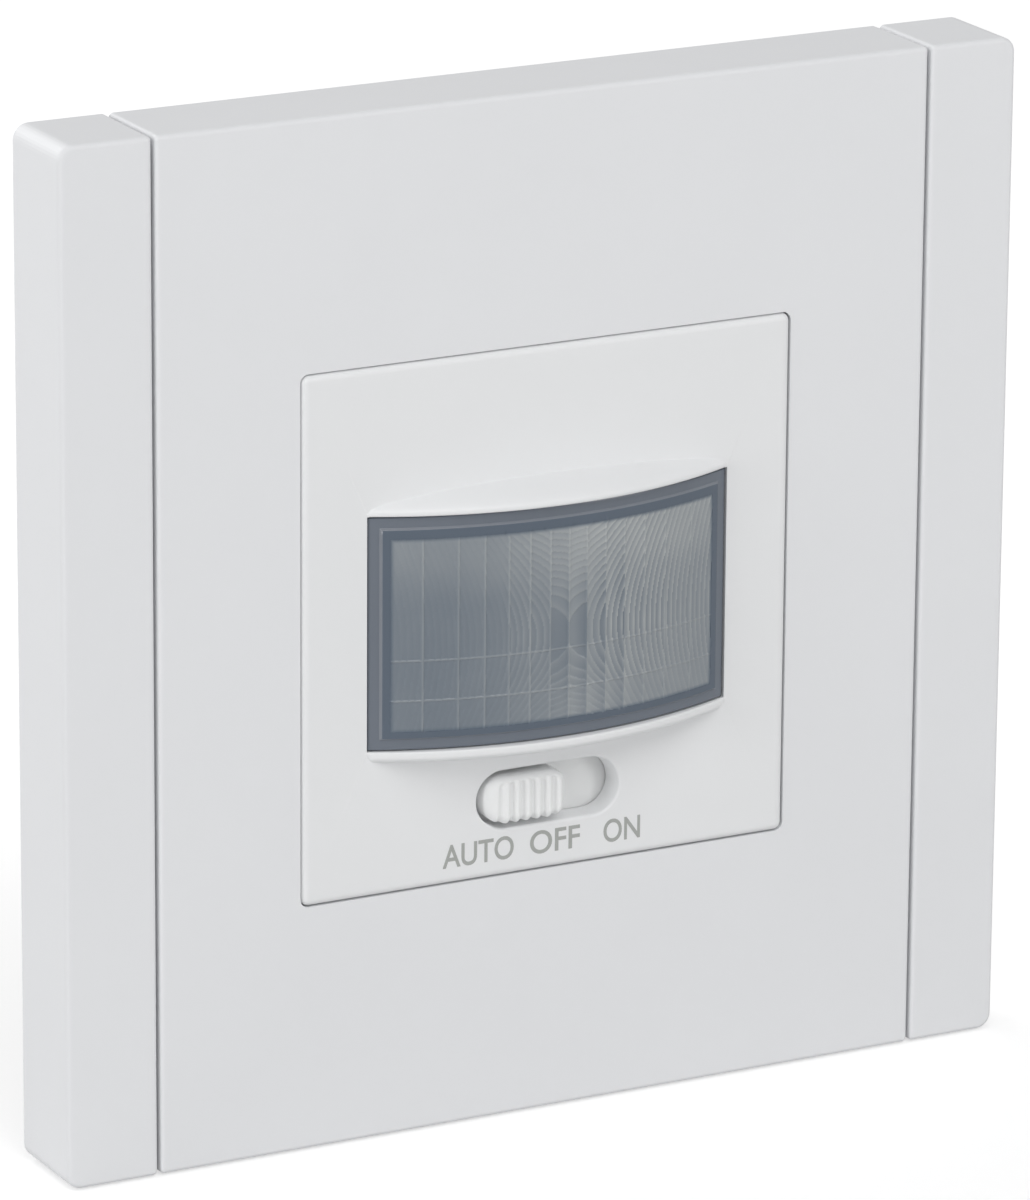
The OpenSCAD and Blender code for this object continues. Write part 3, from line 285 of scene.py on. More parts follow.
class NodeSheet(NodeWork):
    """A finish's node tree, with short calls for the nodes that the finishes use."""

    MIX_FACTOR, MIX_FIRST, MIX_SECOND = 0, 6, 7
    MIX_RESULT = 2
    WAVE_SCALE = FULL_TURN / 20

    def __init__(self, name: str) -> None:
        """Makes a material of that name with a principled shader and object coordinates."""
        self.material = bpy.data.materials.new(name)
        super().__init__(self.material)
        self.shader = self.add("BsdfPrincipled")
        self.link(self.shader.outputs["BSDF"], self.add("OutputMaterial").inputs["Surface"])
        self.coords = self.add("TexCoord").outputs["Object"]

    def noise(self, size: float, detail: float = 3.0, stretch: Point = (1, 1, 1)) -> Socket:
        """Noise over the object.

        Args:
            size: Size of its spots in millimetres.
            detail: How many finer layers it has.
            stretch: Factor along each axis, for brushed or drawn looks.

        Returns:
            The noise value from 0 to 1.
        """
        mapping = self.add("Mapping")
        mapping.inputs["Scale"].default_value = stretch
        self.link(self.coords, mapping.inputs["Vector"])
        node = self.add("TexNoise")
        node.inputs["Scale"].default_value = 1 / (size * MM)
        node.inputs["Detail"].default_value = detail
        self.link(mapping.outputs["Vector"], node.inputs["Vector"])
        return node.outputs["Fac"]

    def cells(self, size: float) -> Socket:
        """Cells over the object, such as the crystals of a plating.

        Args:
            size: Size of the cells in millimetres.

        Returns:
            The distance from each cell's middle.
        """
        node = self.add("TexVoronoi")
        node.inputs["Scale"].default_value = 1 / (size * MM)
        self.link(self.coords, node.inputs["Vector"])
        return node.outputs["Distance"]

    def bands(self, pitch: float, axis: str) -> Socket:
        """Even bands across an axis.

        Args:
            pitch: Distance between two bands in millimetres.
            axis: The axis that they follow each other along, X, Y or Z.

        Returns:
            The bands' value from 0 to 1.
        """
        node = self.add("TexWave")
        node.bands_direction = axis
        node.inputs["Scale"].default_value = self.WAVE_SCALE / (pitch * MM)
        self.link(self.coords, node.inputs["Vector"])
        return node.outputs["Fac"]

    def attribute(self, name: str) -> Socket:
        """Returns a value that the mesh carries at its points."""
        node = self.add("Attribute")
        node.attribute_name = name
        return node.outputs["Fac"]

    def mix(self, factor: Socket, first: Socket | Colour, second: Colour) -> Socket:
        """Mixes two colours.

        Args:
            factor: Share of the second colour.
            first: The first colour, plain or drawn.
            second: The second colour.

        Returns:
            The mixed colour.
        """
        node = self.add("Mix")
        node.data_type = "RGBA"
        self.link(factor, node.inputs[self.MIX_FACTOR])
        if isinstance(first, Socket):
            self.link(first, node.inputs[self.MIX_FIRST])
        else:
            node.inputs[self.MIX_FIRST].default_value = (*first, 1)
        node.inputs[self.MIX_SECOND].default_value = (*second, 1)
        return node.outputs[self.MIX_RESULT]

    def colour(self, source: Socket) -> None:
        """Sets what the base colour follows."""
        self.link(source, self.shader.inputs["Base Color"])

    def roughness(self, source: Socket) -> None:
        """Sets what the roughness follows."""
        self.link(source, self.shader.inputs["Roughness"])

    def relief(self, height: Socket, depth: float) -> None:
        """Adds fine relief to the surface.

        Args:
            height: The height pattern from 0 to 1.
            depth: Depth of the pattern in millimetres.
        """
        node = self.add("Bump")
        node.inputs["Strength"].default_value = 1.0
        node.inputs["Distance"].default_value = depth * MM
        self.link(height, node.inputs["Height"])
        self.link(node.outputs["Normal"], self.shader.inputs["Normal"])

    def set(self, **values: float) -> None:
        """Sets sockets of the shader that are the same all over.

        Args:
            **values: The values, by the sockets' names in lower case.
        """
        for name, value in values.items():
            socket = name.replace("_", " ").title().replace("Ior", "IOR")
            self.shader.inputs[socket].default_value = value


@dataclass(frozen=True)
class Finish:
    """A surface finish, which makes its material once and then gives it again.

    Attributes:
        name: Name of the material.
        colour: Main colour, linear.
        roughness: Middle roughness of the surface.
    """

    name: str
    colour: Colour
    roughness: float = 0.4

    def material(self) -> bpy.types.Material:
        """Makes the finish's material the first time.

        Returns:
            The material, under a name apart from those that came with the frame.
        """
        name = f"finish_{self.name}"
        known = bpy.data.materials.get(name)
        if known:
            return known
        sheet = NodeSheet(name)
        self.paint(sheet)
        return sheet.material

    def paint(self, sheet: NodeSheet) -> None:
        """Fills the node tree; each kind of finish does it in its own way."""
        raise NotImplementedError

    def waver(self, sheet: NodeSheet, source: Socket, darker: float, lighter: float) -> Socket:
        """Returns the main colour, made darker and lighter by shares as a pattern goes."""
        return sheet.mix(source, shade(self.colour, 1 - darker), shade(self.colour, 1 + lighter))

    def polish(self, sheet: NodeSheet, source: Socket, less: float, more: float) -> None:
        """Lets the roughness go below and above its middle as a pattern goes."""
        sheet.roughness(sheet.remap(source, self.roughness - less, self.roughness + more))


@dataclass(frozen=True)
class MouldedPlastic(Finish):
    """Injection-moulded plastic with a fine spark-eroded grain.

    Attributes:
        grain: Size of the grain in millimetres.
        grain_depth: Depth of the grain in millimetres.
        mottle: Share by which the colour wavers.
        coat: Weight of the glossy skin.
        gloss: How strongly the plastic itself mirrors.
    """

    grain: float = 0.22
    grain_depth: float = 0.006
    mottle: float = 0.012
    coat: float = 0.0
    gloss: float = 0.4

    def paint(self, sheet: NodeSheet) -> None:
        """Draws a slow waver in colour and gloss, and the grain as relief."""
        cloud = sheet.noise(size=14, detail=2)
        grain = sheet.noise(size=self.grain, detail=4)
        sheet.colour(self.waver(sheet, cloud, darker=self.mottle, lighter=self.mottle))
        self.polish(sheet, grain, less=0.05, more=0.06)
        sheet.relief(grain, self.grain_depth)
        sheet.set(ior=1.49, specular_ior_level=self.gloss, coat_weight=self.coat)


@dataclass(frozen=True)
class LensPlastic(Finish):
    """Milky grey lens plastic with a moulded skin.

    Attributes:
        haze: Share by which the colour wavers.
        skin: Size of the skin's waves in millimetres.
        skin_depth: Depth of the skin's waves in millimetres.
    """

    haze: float = 0.05
    skin: float = 1.5
    skin_depth: float = 0.001

    def paint(self, sheet: NodeSheet) -> None:
        """Draws the milky colour and the skin."""
        sheet.colour(self.milk(sheet))
        skin = sheet.noise(size=self.skin, detail=2)
        self.polish(sheet, skin, less=0.02, more=0.02)
        sheet.relief(skin, self.skin_depth)
        sheet.set(ior=1.5)

    def milk(self, sheet: NodeSheet) -> Socket:
        """Returns the colour with faint clouds."""
        return self.waver(sheet, sheet.noise(size=5, detail=3), self.haze, self.haze)


@dataclass(frozen=True)
class PaintedLightPlastic(LensPlastic):
    """Lens plastic whose facets and grooves scatter light by different shares.

    Attributes:
        light: Colour where the painted light is strongest.
        cloud: Most that the clouds take away from the light colour.
    """

    light: Colour = (1.0, 1.0, 1.0)
    cloud: float = 0.12

    def milk(self, sheet: NodeSheet) -> Socket:
        """Mixes the two colours by the painted light and shade that the lens's mesh carries.

        Args:
            sheet: The node tree.

        Returns:
            The mixed colour with faint clouds.
        """
        # Painted light and shade: the tone goes from the darkest at 0 to the lightest at 1.
        tone = sheet.remap(sheet.attribute(PAINTED_LIGHT_NAME), *WHOLE, WHOLE)
        clouds = sheet.remap(sheet.noise(size=3, detail=3), 0.0, self.cloud)
        return sheet.mix(clouds, sheet.mix(tone, self.colour, self.light), self.colour)


@dataclass(frozen=True)
class RolledSteel(Finish):
    """Zinc-plated sheet with a rolling direction.

    Attributes:
        along: Stretch of the rolling marks along each axis.
        spangle: Size of the plating's crystals in millimetres.
    """

    along: Point = (0.06, 1.0, 1.0)
    spangle: float = 1.6

    def paint(self, sheet: NodeSheet) -> None:
        """Draws rolling marks and plating crystals in colour, gloss and relief."""
        marks = sheet.noise(size=0.12, detail=5, stretch=self.along)
        base = self.waver(sheet, marks, darker=0.14, lighter=0.08)
        crystals = sheet.remap(sheet.cells(self.spangle), low=0.0, high=0.25, source=(0.2, 0.9))
        sheet.colour(sheet.mix(crystals, base, shade(self.colour, factor=0.8)))
        self.polish(sheet, marks, less=0.08, more=0.12)
        sheet.relief(marks, depth=0.004)
        sheet.set(metallic=1.0)


@dataclass(frozen=True)
class TurnedMetal(Finish):
    """Turned, drawn or tinned metal with fine tool marks.

    Attributes:
        marks: Pitch of the tool marks in millimetres.
        tarnish: Share of darker patches.
    """

    marks: float = 0.1
    tarnish: float = 0.18

    def paint(self, sheet: NodeSheet) -> None:
        """Draws tool marks and slight tarnish."""
        lines = sheet.noise(size=self.marks, detail=4, stretch=(1.0, 0.15, 1.0))
        base = self.waver(sheet, lines, darker=0.1, lighter=0.06)
        patches = sheet.remap(sheet.noise(size=1.8, detail=4), low=0.0, high=self.tarnish,
                              source=(0.5, 0.75))
        sheet.colour(sheet.mix(patches, base, shade(self.colour, factor=0.55)))
        self.polish(sheet, lines, less=0.06, more=0.1)
        sheet.relief(lines, depth=0.003)
        sheet.set(metallic=1.0)


@dataclass(frozen=True)
class CircuitBoard(Finish):
    """Solder mask over glass fibre, with tracks that show through.

    Attributes:
        track: Colour of the mask where copper lies under it.
        pitch: Distance between two tracks in millimetres.
        patch: Size in millimetres of the areas where the tracks keep one direction.
        patch_edge: Values of the noise between which the direction changes.
        copper: Values of the bands between which a track begins.
    """

    track: Colour = (0.05, 0.24, 0.11)
    pitch: float = 1.27
    patch: float = 9.0
    patch_edge: Flat = (0.49, 0.51)
    copper: Flat = (0.66, 0.76)

    def tracks(self, sheet: NodeSheet, axis: str, area: Socket) -> Socket:
        """Tracks in the areas of one direction.

        Args:
            sheet: The node tree.
            axis: The axis that the tracks follow each other along.
            area: 1 in the areas that have these tracks, and 0 in the others.

        Returns:
            1 on the tracks and 0 between them.
        """
        lines = sheet.remap(sheet.bands(self.pitch, axis), *WHOLE, self.copper)
        return sheet.join("MULTIPLY", area, lines)

    def paint(self, sheet: NodeSheet) -> None:
        """Draws tracks that run upright in some areas and level in the others."""
        upright = sheet.remap(sheet.noise(size=self.patch, detail=0), *WHOLE, self.patch_edge)
        level = sheet.remap(upright, low=1.0, high=0.0, source=WHOLE)
        runs = sheet.join("ADD", self.tracks(sheet, "X", upright), self.tracks(sheet, "Z", level))
        weave = sheet.noise(size=0.35, detail=2, stretch=(1.0, 1.0, 0.4))
        base = self.waver(sheet, weave, darker=0.1, lighter=0.12)
        sheet.colour(sheet.mix(runs, base, self.track))
        self.polish(sheet, weave, less=0.05, more=0.1)
        sheet.relief(runs, depth=0.03)
        sheet.set(ior=1.5, coat_weight=0.3)


@dataclass(frozen=True)
class WoundWire(Finish):
    """Enamelled wire laid turn by turn.

    Attributes:
        pitch: Distance between two turns in millimetres.
        axis: Axis of the winding, X, Y or Z.
    """

    pitch: float = 0.22
    axis: str = "Z"

    def paint(self, sheet: NodeSheet) -> None:
        """Draws the turns as bands and the enamel's warm waver, with painted shade between the
        turns.
        """
        turns = sheet.bands(self.pitch, self.axis)
        enamel = sheet.noise(size=1.2, detail=3)
        base = self.waver(sheet, enamel, darker=0.15, lighter=0.1)
        # Painted shade: the colour darkens between the turns.
        painted_turn_shade = sheet.remap(turns, low=0.6, high=0.0, source=(0.0, 0.5))
        sheet.colour(sheet.mix(painted_turn_shade, base, shade(self.colour, factor=0.35)))
        self.polish(sheet, enamel, less=0.05, more=0.1)
        sheet.relief(turns, depth=0.05)
        sheet.set(metallic=0.85, coat_weight=0.4)


@dataclass(frozen=True)
class FilterGlass(Finish):
    """Dark infrared filter of polished silicon."""

    def paint(self, sheet: NodeSheet) -> None:
        """Draws a faint interference tint and polishing haze."""
        haze = sheet.noise(size=2.4, detail=2)
        sheet.colour(self.waver(sheet, haze, darker=0.0, lighter=0.6))
        self.polish(sheet, haze, less=0.0, more=0.06)
        sheet.set(ior=2.2, coat_weight=0.5)


@dataclass(frozen=True)
class PrintedInk(Finish):
    """Pad-printed ink with slightly uneven cover."""

    def paint(self, sheet: NodeSheet) -> None:
        """Draws specks where the ink is thinner."""
        specks = sheet.noise(size=0.12, detail=3)
        sheet.colour(self.waver(sheet, specks, darker=0.1, lighter=0.12))
        self.polish(sheet, specks, less=0.05, more=0.08)
        sheet.relief(specks, depth=0.003)


def of_slot(kind: type[Finish], slot: str, roughness: float, **details: float | Point) -> Finish:
    """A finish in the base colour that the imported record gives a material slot.

    Args:
        kind: The kind of finish.
        slot: Name of the slot, which becomes the finish's name.
        roughness: Middle roughness of the surface.
        **details: What else the kind of finish takes.

    Returns:
        The finish.
    """
    found = next(row for row in frame["record"]["materials"] if row["slot"] == slot)
    return kind(slot, tuple(found["base_color"][:3]), roughness, **details)


FINISHES: dict[str, Finish] = {finish.name: finish for finish in (
    MouldedPlastic("frame_plastic", srgb(232, 233, 235), 0.48, gloss=0.25),
    MouldedPlastic("cover_plastic", srgb(235, 236, 237), 0.42),
    # A lighter copy of the white plastic: painted light that makes up for the shade in the
    # slider's slot.
    MouldedPlastic("slider_plastic", srgb(240, 241, 241), 0.45),
    of_slot(MouldedPlastic, "chassis_plastic", 0.5),
    of_slot(MouldedPlastic, "carrier_plastic", 0.5),
    of_slot(MouldedPlastic, "housing_plastic", 0.5, grain=0.35, grain_depth=0.012),
    of_slot(MouldedPlastic, "terminal_plastic", 0.45),
    of_slot(MouldedPlastic, "cell_plastic", 0.3),
    of_slot(MouldedPlastic, "phenolic", 0.55, mottle=0.06),
    of_slot(MouldedPlastic, "trimmer_blue", 0.4),
    of_slot(MouldedPlastic, "dial_ivory", 0.45),
    of_slot(MouldedPlastic, "chip_black", 0.6, grain=0.12),
    of_slot(MouldedPlastic, "relay_case_blue", 0.35, coat=0.2),
    of_slot(MouldedPlastic, "bobbin_plastic", 0.5),
    of_slot(MouldedPlastic, "film_yellow", 0.35, coat=0.3),
    of_slot(MouldedPlastic, "can_sleeve", 0.3, grain=0.5, coat=0.4),
    of_slot(MouldedPlastic, "varistor_blue", 0.3, grain=0.6, grain_depth=0.02, coat=0.5),
    of_slot(MouldedPlastic, "resistor_blue", 0.35, coat=0.3),
    of_slot(FilterGlass, "window_filter", 0.12),
    of_slot(RolledSteel, "bridge_steel", 0.36),
    of_slot(RolledSteel, "claw_steel", 0.38, along=(1.0, 0.08, 1.0), spangle=1.1),
    of_slot(TurnedMetal, "screw_steel", 0.3),
    of_slot(TurnedMetal, "brass", 0.28),
    of_slot(TurnedMetal, "tin", 0.34, tarnish=0.1),
    of_slot(WoundWire, "winding_copper", 0.3),
    of_slot(CircuitBoard, "board", 0.4),
)}
LENS_FINISHES: dict[LensZone, Finish] = {
    LensZone.FIELD: PaintedLightPlastic("lens_field", srgb(88, 101, 115), 0.32,
                                   light=srgb(179, 182, 182)),
    LensZone.RIM: LensPlastic("lens_rim", srgb(108, 115, 125), 0.3),
    LensZone.BAND: LensPlastic("lens_band", srgb(88, 99, 112), 0.3),
    # The step's lighter colour is a painted highlight along the rim's step.
    LensZone.STEP: LensPlastic("lens_step_highlight", srgb(127, 132, 140), 0.24),
}
LABEL_INK = PrintedInk("label_ink", srgb(168, 170, 167), 0.5)


class MeshMaker:
    """Collects rings and faces in millimetres and turns them into an object."""

    def __init__(self) -> None:
        """Starts with an empty mesh."""
        self.mesh = bmesh.new()

    def painted_light(self) -> bmesh.types.BMLayerItem:
        """Returns the layer that holds each point's painted light tone, and makes it the first
        time.
        """
        layers = self.mesh.verts.layers.float
        return layers.get(PAINTED_LIGHT_NAME) or layers.new(PAINTED_LIGHT_NAME)

    def vert(self, x: float, y: float, z: float) -> bmesh.types.BMVert:
        """Adds one point, given in millimetres."""
        return self.mesh.verts.new((x * MM, y * MM, z * MM))

    def ring(self, points: Sequence[Flat], y: float, centre: Flat = (0, 0)) -> Ring:
        """Adds the points of an outline at one depth.

        Args:
            points: The outline in X and Z.
            y: Its depth.
            centre: What is added to each point.

        Returns:
            The ring of new points.
        """
        return [self.vert(x + centre[0], y, z + centre[1]) for x, z in points]

    def face(self, *corners: bmesh.types.BMVert, material: int = 0) -> None:
        """Adds one face, unless its corners fall together.

        Args:
            *corners: The face's corners in order.
            material: Number of its material.
        """
        kept = list(dict.fromkeys(corners))
        if len(kept) > 2:
            self.mesh.faces.new(kept).material_index = material

    def bridge(self, first: Ring, second: Ring, closed: bool = True) -> None:
        """Adds a band of faces between two rings of the same length.

        Args:
            first: One ring.
            second: The other ring.
            closed: Whether the band goes all the way round.
        """
        count = len(first)
        for i in range(count if closed else count - 1):
            j = (i + 1) % count
            self.face(first[i], first[j], second[j], second[i])

    def loft(self, rings: Sequence[Ring], closed: bool = True) -> None:
        """Adds bands of faces through several rings in order."""
        for first, second in zip(rings, rings[1:]):
            self.bridge(first, second, closed)

    def fill(self, *rings: Ring) -> None:
        """Fills the flat area between an outline and the holes in it.

        Args:
            *rings: The outline and the holes, in any order.
        """
        edges = []
        for ring in rings:
            for first, second in zip(ring, [*ring[1:], ring[0]]):
                if first is not second:
                    known = self.mesh.edges.get((first, second))
                    edges.append(known or self.mesh.edges.new((first, second)))
        bmesh.ops.triangle_fill(self.mesh, use_beauty=True, use_dissolve=False, edges=edges)

    def build(self, name: str, finishes: Sequence[Finish], body: Body,
              crease: float = 38) -> bpy.types.Object:
        """Turns what was collected into an object that rides on a body.

        Args:
            name: Name of the piece.
            finishes: Its finishes, by the faces' material numbers.
            body: The body that it moves with.
            crease: Angle in degrees from which an edge stays sharp.

        Returns:
            The new object.
        """
        bmesh.ops.recalc_face_normals(self.mesh, faces=self.mesh.faces)
        data = bpy.data.meshes.new(name)
        self.mesh.to_mesh(data)
        self.mesh.free()
        for finish in finishes:
            data.materials.append(finish.material())
        for polygon in data.polygons:
            polygon.use_smooth = True
        data.set_sharp_from_angle(angle=math.radians(crease))
        piece = bpy.data.objects.new(name, data)
        bpy.context.scene.collection.objects.link(piece)
        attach(piece, body.value)
        return piece


@dataclass
class SolidGroup:
    """Solids of the CAD model that stay as they are and get their finishes.

    Attributes:
        title: What the group is, for the log.
        nodes: Names of the solids' nodes.
        edge: How wide their edges are broken.
        joint: Distance up to which split points are one point.
        segments: Segments of a broken edge.
        sharp: Angle in degrees from which an edge is broken.
    """

    title: str
    nodes: tuple[str, ...]
    edge: Edge = Edge.NONE
    joint: float = 0.001
    segments: int = 2
    sharp: float = 40

    def dress(self) -> None:
        """Gives each solid the finish of its slot, and breaks its edges."""
        slots = {row["node"]: row["material_slot"] for row in frame["record"]["subparts"]}
        for name in self.nodes:
            solid = frame["nodes"][name]
            solid.data.materials.clear()
            solid.data.materials.append(FINISHES[slots[name]].material())
            if self.edge is not Edge.NONE:
                self.break_edges(solid)
            log.info("dressed %s: %s", self.title, name)

    def break_edges(self, solid: bpy.types.Object) -> None:
        """Joins the solid's split points and rounds its sharp edges a little.

        Args:
            solid: The solid's object.
        """
        weld = solid.modifiers.new("joined", "WELD")
        weld.merge_threshold = self.joint * MM
        bevel = solid.modifiers.new("broken_edges", "BEVEL")
        bevel.width = self.edge.value * MM
        bevel.segments = self.segments
        bevel.limit_method = "ANGLE"
        bevel.angle_limit = math.radians(self.sharp)
        bevel.use_clamp_overlap = True
        bevel.harden_normals = True


@dataclass(frozen=True)
class FrontDepths:
    """Depths of the front pieces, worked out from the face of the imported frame.

    Attributes:
        face: Depth of the frame's face.
        cover_proud: How far the cover stands in front of the face.
        cover_wall: Thickness of the cover's front.
        grip_proud: How far the slider's grip stands in front of the cover.
        slide_gap: Gap between the cover's back and the slider's shutter.
    """

    face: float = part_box("frame_panel")[0].y / MM
    cover_proud: float = 0.2
    cover_wall: float = 1.6
    grip_proud: float = 1.0
    slide_gap: float = 0.15

    @property
    def cover(self) -> float:
        """Depth of the cover's front."""
        return self.face - self.cover_proud

    @property
    def cover_back(self) -> float:
        """Depth of the back of the cover's front wall."""
        return self.cover + self.cover_wall

    @property
    def grip(self) -> float:
        """Depth of the grip's front."""
        return self.cover - self.grip_proud

    @property
    def shutter(self) -> float:
        """Depth of the shutter's front."""
        return self.cover_back + self.slide_gap


DEPTHS = FrontDepths()


@dataclass
class LensLip:
    """One of the two raised lips of the cover, along an edge of the lens window.

    Attributes:
        side: The window's edge that it stands on.
        power: Roundness from the band at the lens to the foot; higher is fuller.
        half_w: Half of the lip's length.
        edge_z: Height of the window's edge.
        cover_y: Depth of the cover's front.
        bow: How far the lip stands out of the cover at its middle.
        rise: Height of the lip's foot over the window's edge at its middle.
        flat: Height of the band that follows the lens.
        edge_r: Rounding of the edge at the lens.
        foot_r: Softness of the foot.
        foot_share: The most that this softness takes of the lip's height.
        apron: Width of the strip of flat cover along the foot.
        columns: Segments along the lip.
        rows: Segments from its edge to its foot.
    """

    side: Side
    power: float
    half_w: float
    edge_z: float
    cover_y: float
    bow: float = 4.0
    rise: float = 1.6
    flat: float = 0.3
    edge_r: float = 0.18
    foot_r: float = 0.25
    foot_share: float = 0.5
    apron: float = 0.12
    columns: int = 120
    rows: int = 22

    @property
    def radius(self) -> float:
        """Radius of the lip's bow."""
        return (self.half_w ** 2 + self.bow ** 2) / (2 * self.bow)

    def crest(self, x: float) -> float:
        """Returns how far the lip's band stands out of the cover at x."""
        return max(0.0, math.sqrt(self.radius ** 2 - x * x) - (self.radius - self.bow))

    def softness(self, x: float) -> float:
        """Returns the foot's softness at x, less where the lip runs out."""
        return min(self.foot_r, self.foot_share * self.crest(x))

    def foot(self, x: float) -> float:
        """Finds where the lip meets the cover.

        Args:
            x: Place along the lip.

        Returns:
            The foot's height over the window's edge.
        """
        base = self.radius - self.bow - self.softness(x)
        share = max(0.0, (self.radius - math.hypot(x, base)) / self.bow)
        return self.flat + (self.rise - self.flat) * share ** (1 / self.power)

    def height(self, x: float, up: float) -> float:
        """How far the lip stands out of the cover.

        Args:
            x: Place along the lip.
            up: Distance from the window's edge.

        Returns:
            The height over the cover's front.
        """
        share = max(0.0, (up - self.flat) / (self.rise - self.flat)) ** self.power
        reach = (self.radius - self.bow * share) ** 2 - x * x
        height = math.sqrt(max(0.0, reach)) - (self.radius - self.bow)
        soft = self.softness(x)
        if abs(height) < soft:
            height = (height + soft) ** 2 / (4 * soft)
        return max(0.0, max(0.0, height) - rounding(up, self.edge_r))

    def grid(self, maker: MeshMaker) -> list[Ring]:
        """Adds the lip's skin.

        Args:
            maker: The mesh that it goes into.

        Returns:
            Its rows of points, from the window's edge to the cover's flat front.
        """
        shares = [0.5 - 0.5 * math.cos(math.pi * i / self.rows) for i in range(self.rows + 1)]
        lines: list[Ring] = [[] for _ in range(self.rows + 2)]
        for i in range(self.columns + 1):
            x = self.half_w * (2 * i / self.columns - 1)
            foot = self.foot(x)
            for row, share in enumerate(shares):
                up = foot * share
                lines[row].append(self.point(maker, x, up, self.height(x, up)))
            lines[-1].append(self.point(maker, x, foot + self.apron, 0.0))
        maker.loft(lines, closed=False)
        return lines

    def point(self, maker: MeshMaker, x: float, up: float, height: float) -> bmesh.types.BMVert:
        """Adds one point of the lip, by its place along, up from the edge and out of the cover."""
        return maker.vert(x, self.cover_y - height, self.side.value * (self.edge_z + up))


@dataclass
class SensorCover:
    """The square cover with the lens window, its lips and the slider's slot.

    Attributes:
        seam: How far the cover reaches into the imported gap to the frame, for a fine seam.
        half: Half of the cover's side.
        skirt_y: Depth of the skirt's rear end.
        front_y: Depth of the front.
        back_y: Depth of the back of the front wall.
        wall: Thickness of the skirt.
        corner_r: Radius of the corners.
        corner_min: Least radius that the edge's rounding leaves of them.
        edge_r: Rounding of the outer edge.
        window_half: Half of the lens window's width and height.
        lip_powers: Roundness of the lips, by the window's edge.
        slot_half: Half of the slot's width and height.
        slot_z: Height of the slot's middle.
        slot_edge_r: Rounding of the slot's edge.
        slot_lean: How far the slot's wall leans out, at least and at most.
        slot_lean_side: Direction in X and Z in which it leans most.
        collar_w: Width of the collar behind the slot.
        collar_h: Height of that collar.
        fillet_steps: Segments in a rounded edge.
        support: Width of the strip of flat front along a rounded edge.
    """

    seam: float = 0.05
    half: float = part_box("cover_plate")[1].x / MM + seam
    skirt_y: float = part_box("cover_plate")[1].y / MM
    front_y: float = DEPTHS.cover
    back_y: float = DEPTHS.cover_back
    wall: float = 1.4
    corner_r: float = 0.7
    corner_min: float = 0.1
    edge_r: float = 0.6
    window_half: Flat = (16.4, 9.85)
    lip_powers: tuple[tuple[Side, float], ...] = ((Side.UPPER, 2.0), (Side.LOWER, 3.2))
    slot_half: Flat = (6.35, 2.35)
    slot_z: float = SLOT_Z
    slot_edge_r: float = 0.25
    slot_lean: Flat = (0.05, 0.4)
    slot_lean_side: Flat = (0.9, -0.43)
    collar_w: float = 0.5
    collar_h: float = 0.5 * DEPTHS.slide_gap
    fillet_steps: int = 8
    support: float = 0.08

    def build(self) -> bpy.types.Object:
        """Builds the cover and lets it stand for the CAD cover.

        Returns:
            The new piece.
        """
        maker = MeshMaker()
        rim = self.outer_rings(maker)
        upper, lower = self.lips(maker)
        slot = self.slot_rings(maker)
        maker.fill(rim[-1], self.window_outline(upper, lower), slot[-1])
        window = [*upper[0], *reversed(lower[0])]
        behind = [maker.vert(v.co.x / MM, self.back_y, v.co.z / MM) for v in window]
        maker.bridge(window, behind)
        inner_line = rounded_square(self.half - self.wall, self.corner_r)
        inner = maker.ring(inner_line, self.back_y)
        maker.loft([inner, maker.ring(inner_line, self.skirt_y), rim[0]])
        collar = stadium(self.slot_half[0] + self.collar_w, self.slot_half[1] + self.collar_w)
        slot_back = maker.ring(collar, self.back_y, (0, self.slot_z))
        collar_end = maker.ring(collar, self.back_y + self.collar_h, (0, self.slot_z))
        maker.loft([slot_back, collar_end, slot[0]])
        maker.fill(inner, behind, slot_back)
        piece = maker.build("sensor_cover", [FINISHES["cover_plastic"]], Body.SWITCH)
        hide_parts("cover_plate")
        log.info("built %s", piece.name)
        return piece

    def outer_rings(self, maker: MeshMaker) -> list[Ring]:
        """Adds the skirt and the rounded outer edge.

        Args:
            maker: The mesh that they go into.

        Returns:
            Their rings, from the skirt's rear end to the flat front.
        """
        steps = [(0.0, self.skirt_y)]
        for step in range(self.fillet_steps + 1):
            angle = QUARTER_TURN * step / self.fillet_steps
            steps.append((self.edge_r * (1 - math.cos(angle)),
                          self.front_y + self.edge_r * (1 - math.sin(angle))))
        steps.append((self.edge_r + self.support, self.front_y))
        rings = []
        for inset, y in steps:
            corner = max(self.corner_min, self.corner_r - inset)
            rings.append(maker.ring(rounded_square(self.half - inset, corner), y))
        maker.loft(rings)
        return rings

    def lips(self, maker: MeshMaker) -> list[list[Ring]]:
        """Adds the upper and the lower lip, and returns their rows."""
        return [LensLip(side, power, *self.window_half, self.front_y).grid(maker)
                for side, power in self.lip_powers]

    def slot_rings(self, maker: MeshMaker) -> list[Ring]:
        """Adds the slot's leaning wall and its rounded edge.

        Args:
            maker: The mesh that they go into.

        Returns:
            Their rings, from the collar's end to the flat front.
        """
        outline = stadium(*self.slot_half)
        outer = stadium(*(half + 1 for half in self.slot_half))
        rings = [maker.ring(outline, self.back_y + self.collar_h, (0, self.slot_z))]
        for step in range(self.fillet_steps + 2):
            angle = QUARTER_TURN * min(1, step / self.fillet_steps)
            extra = self.support if step > self.fillet_steps else 0.0
            y = self.front_y + self.slot_edge_r * (1 - math.sin(angle))
            ring = []
            for (x, z), (far_x, far_z) in zip(outline, outer):
                out_x, out_z = far_x - x, far_z - z
                out = (self.slot_draft(out_x, out_z) + extra
                       + self.slot_edge_r * (1 - math.cos(angle)))
                ring.append(maker.vert(x + out * out_x, y, z + out * out_z + self.slot_z))
            rings.append(ring)
        maker.loft(rings)
        return rings

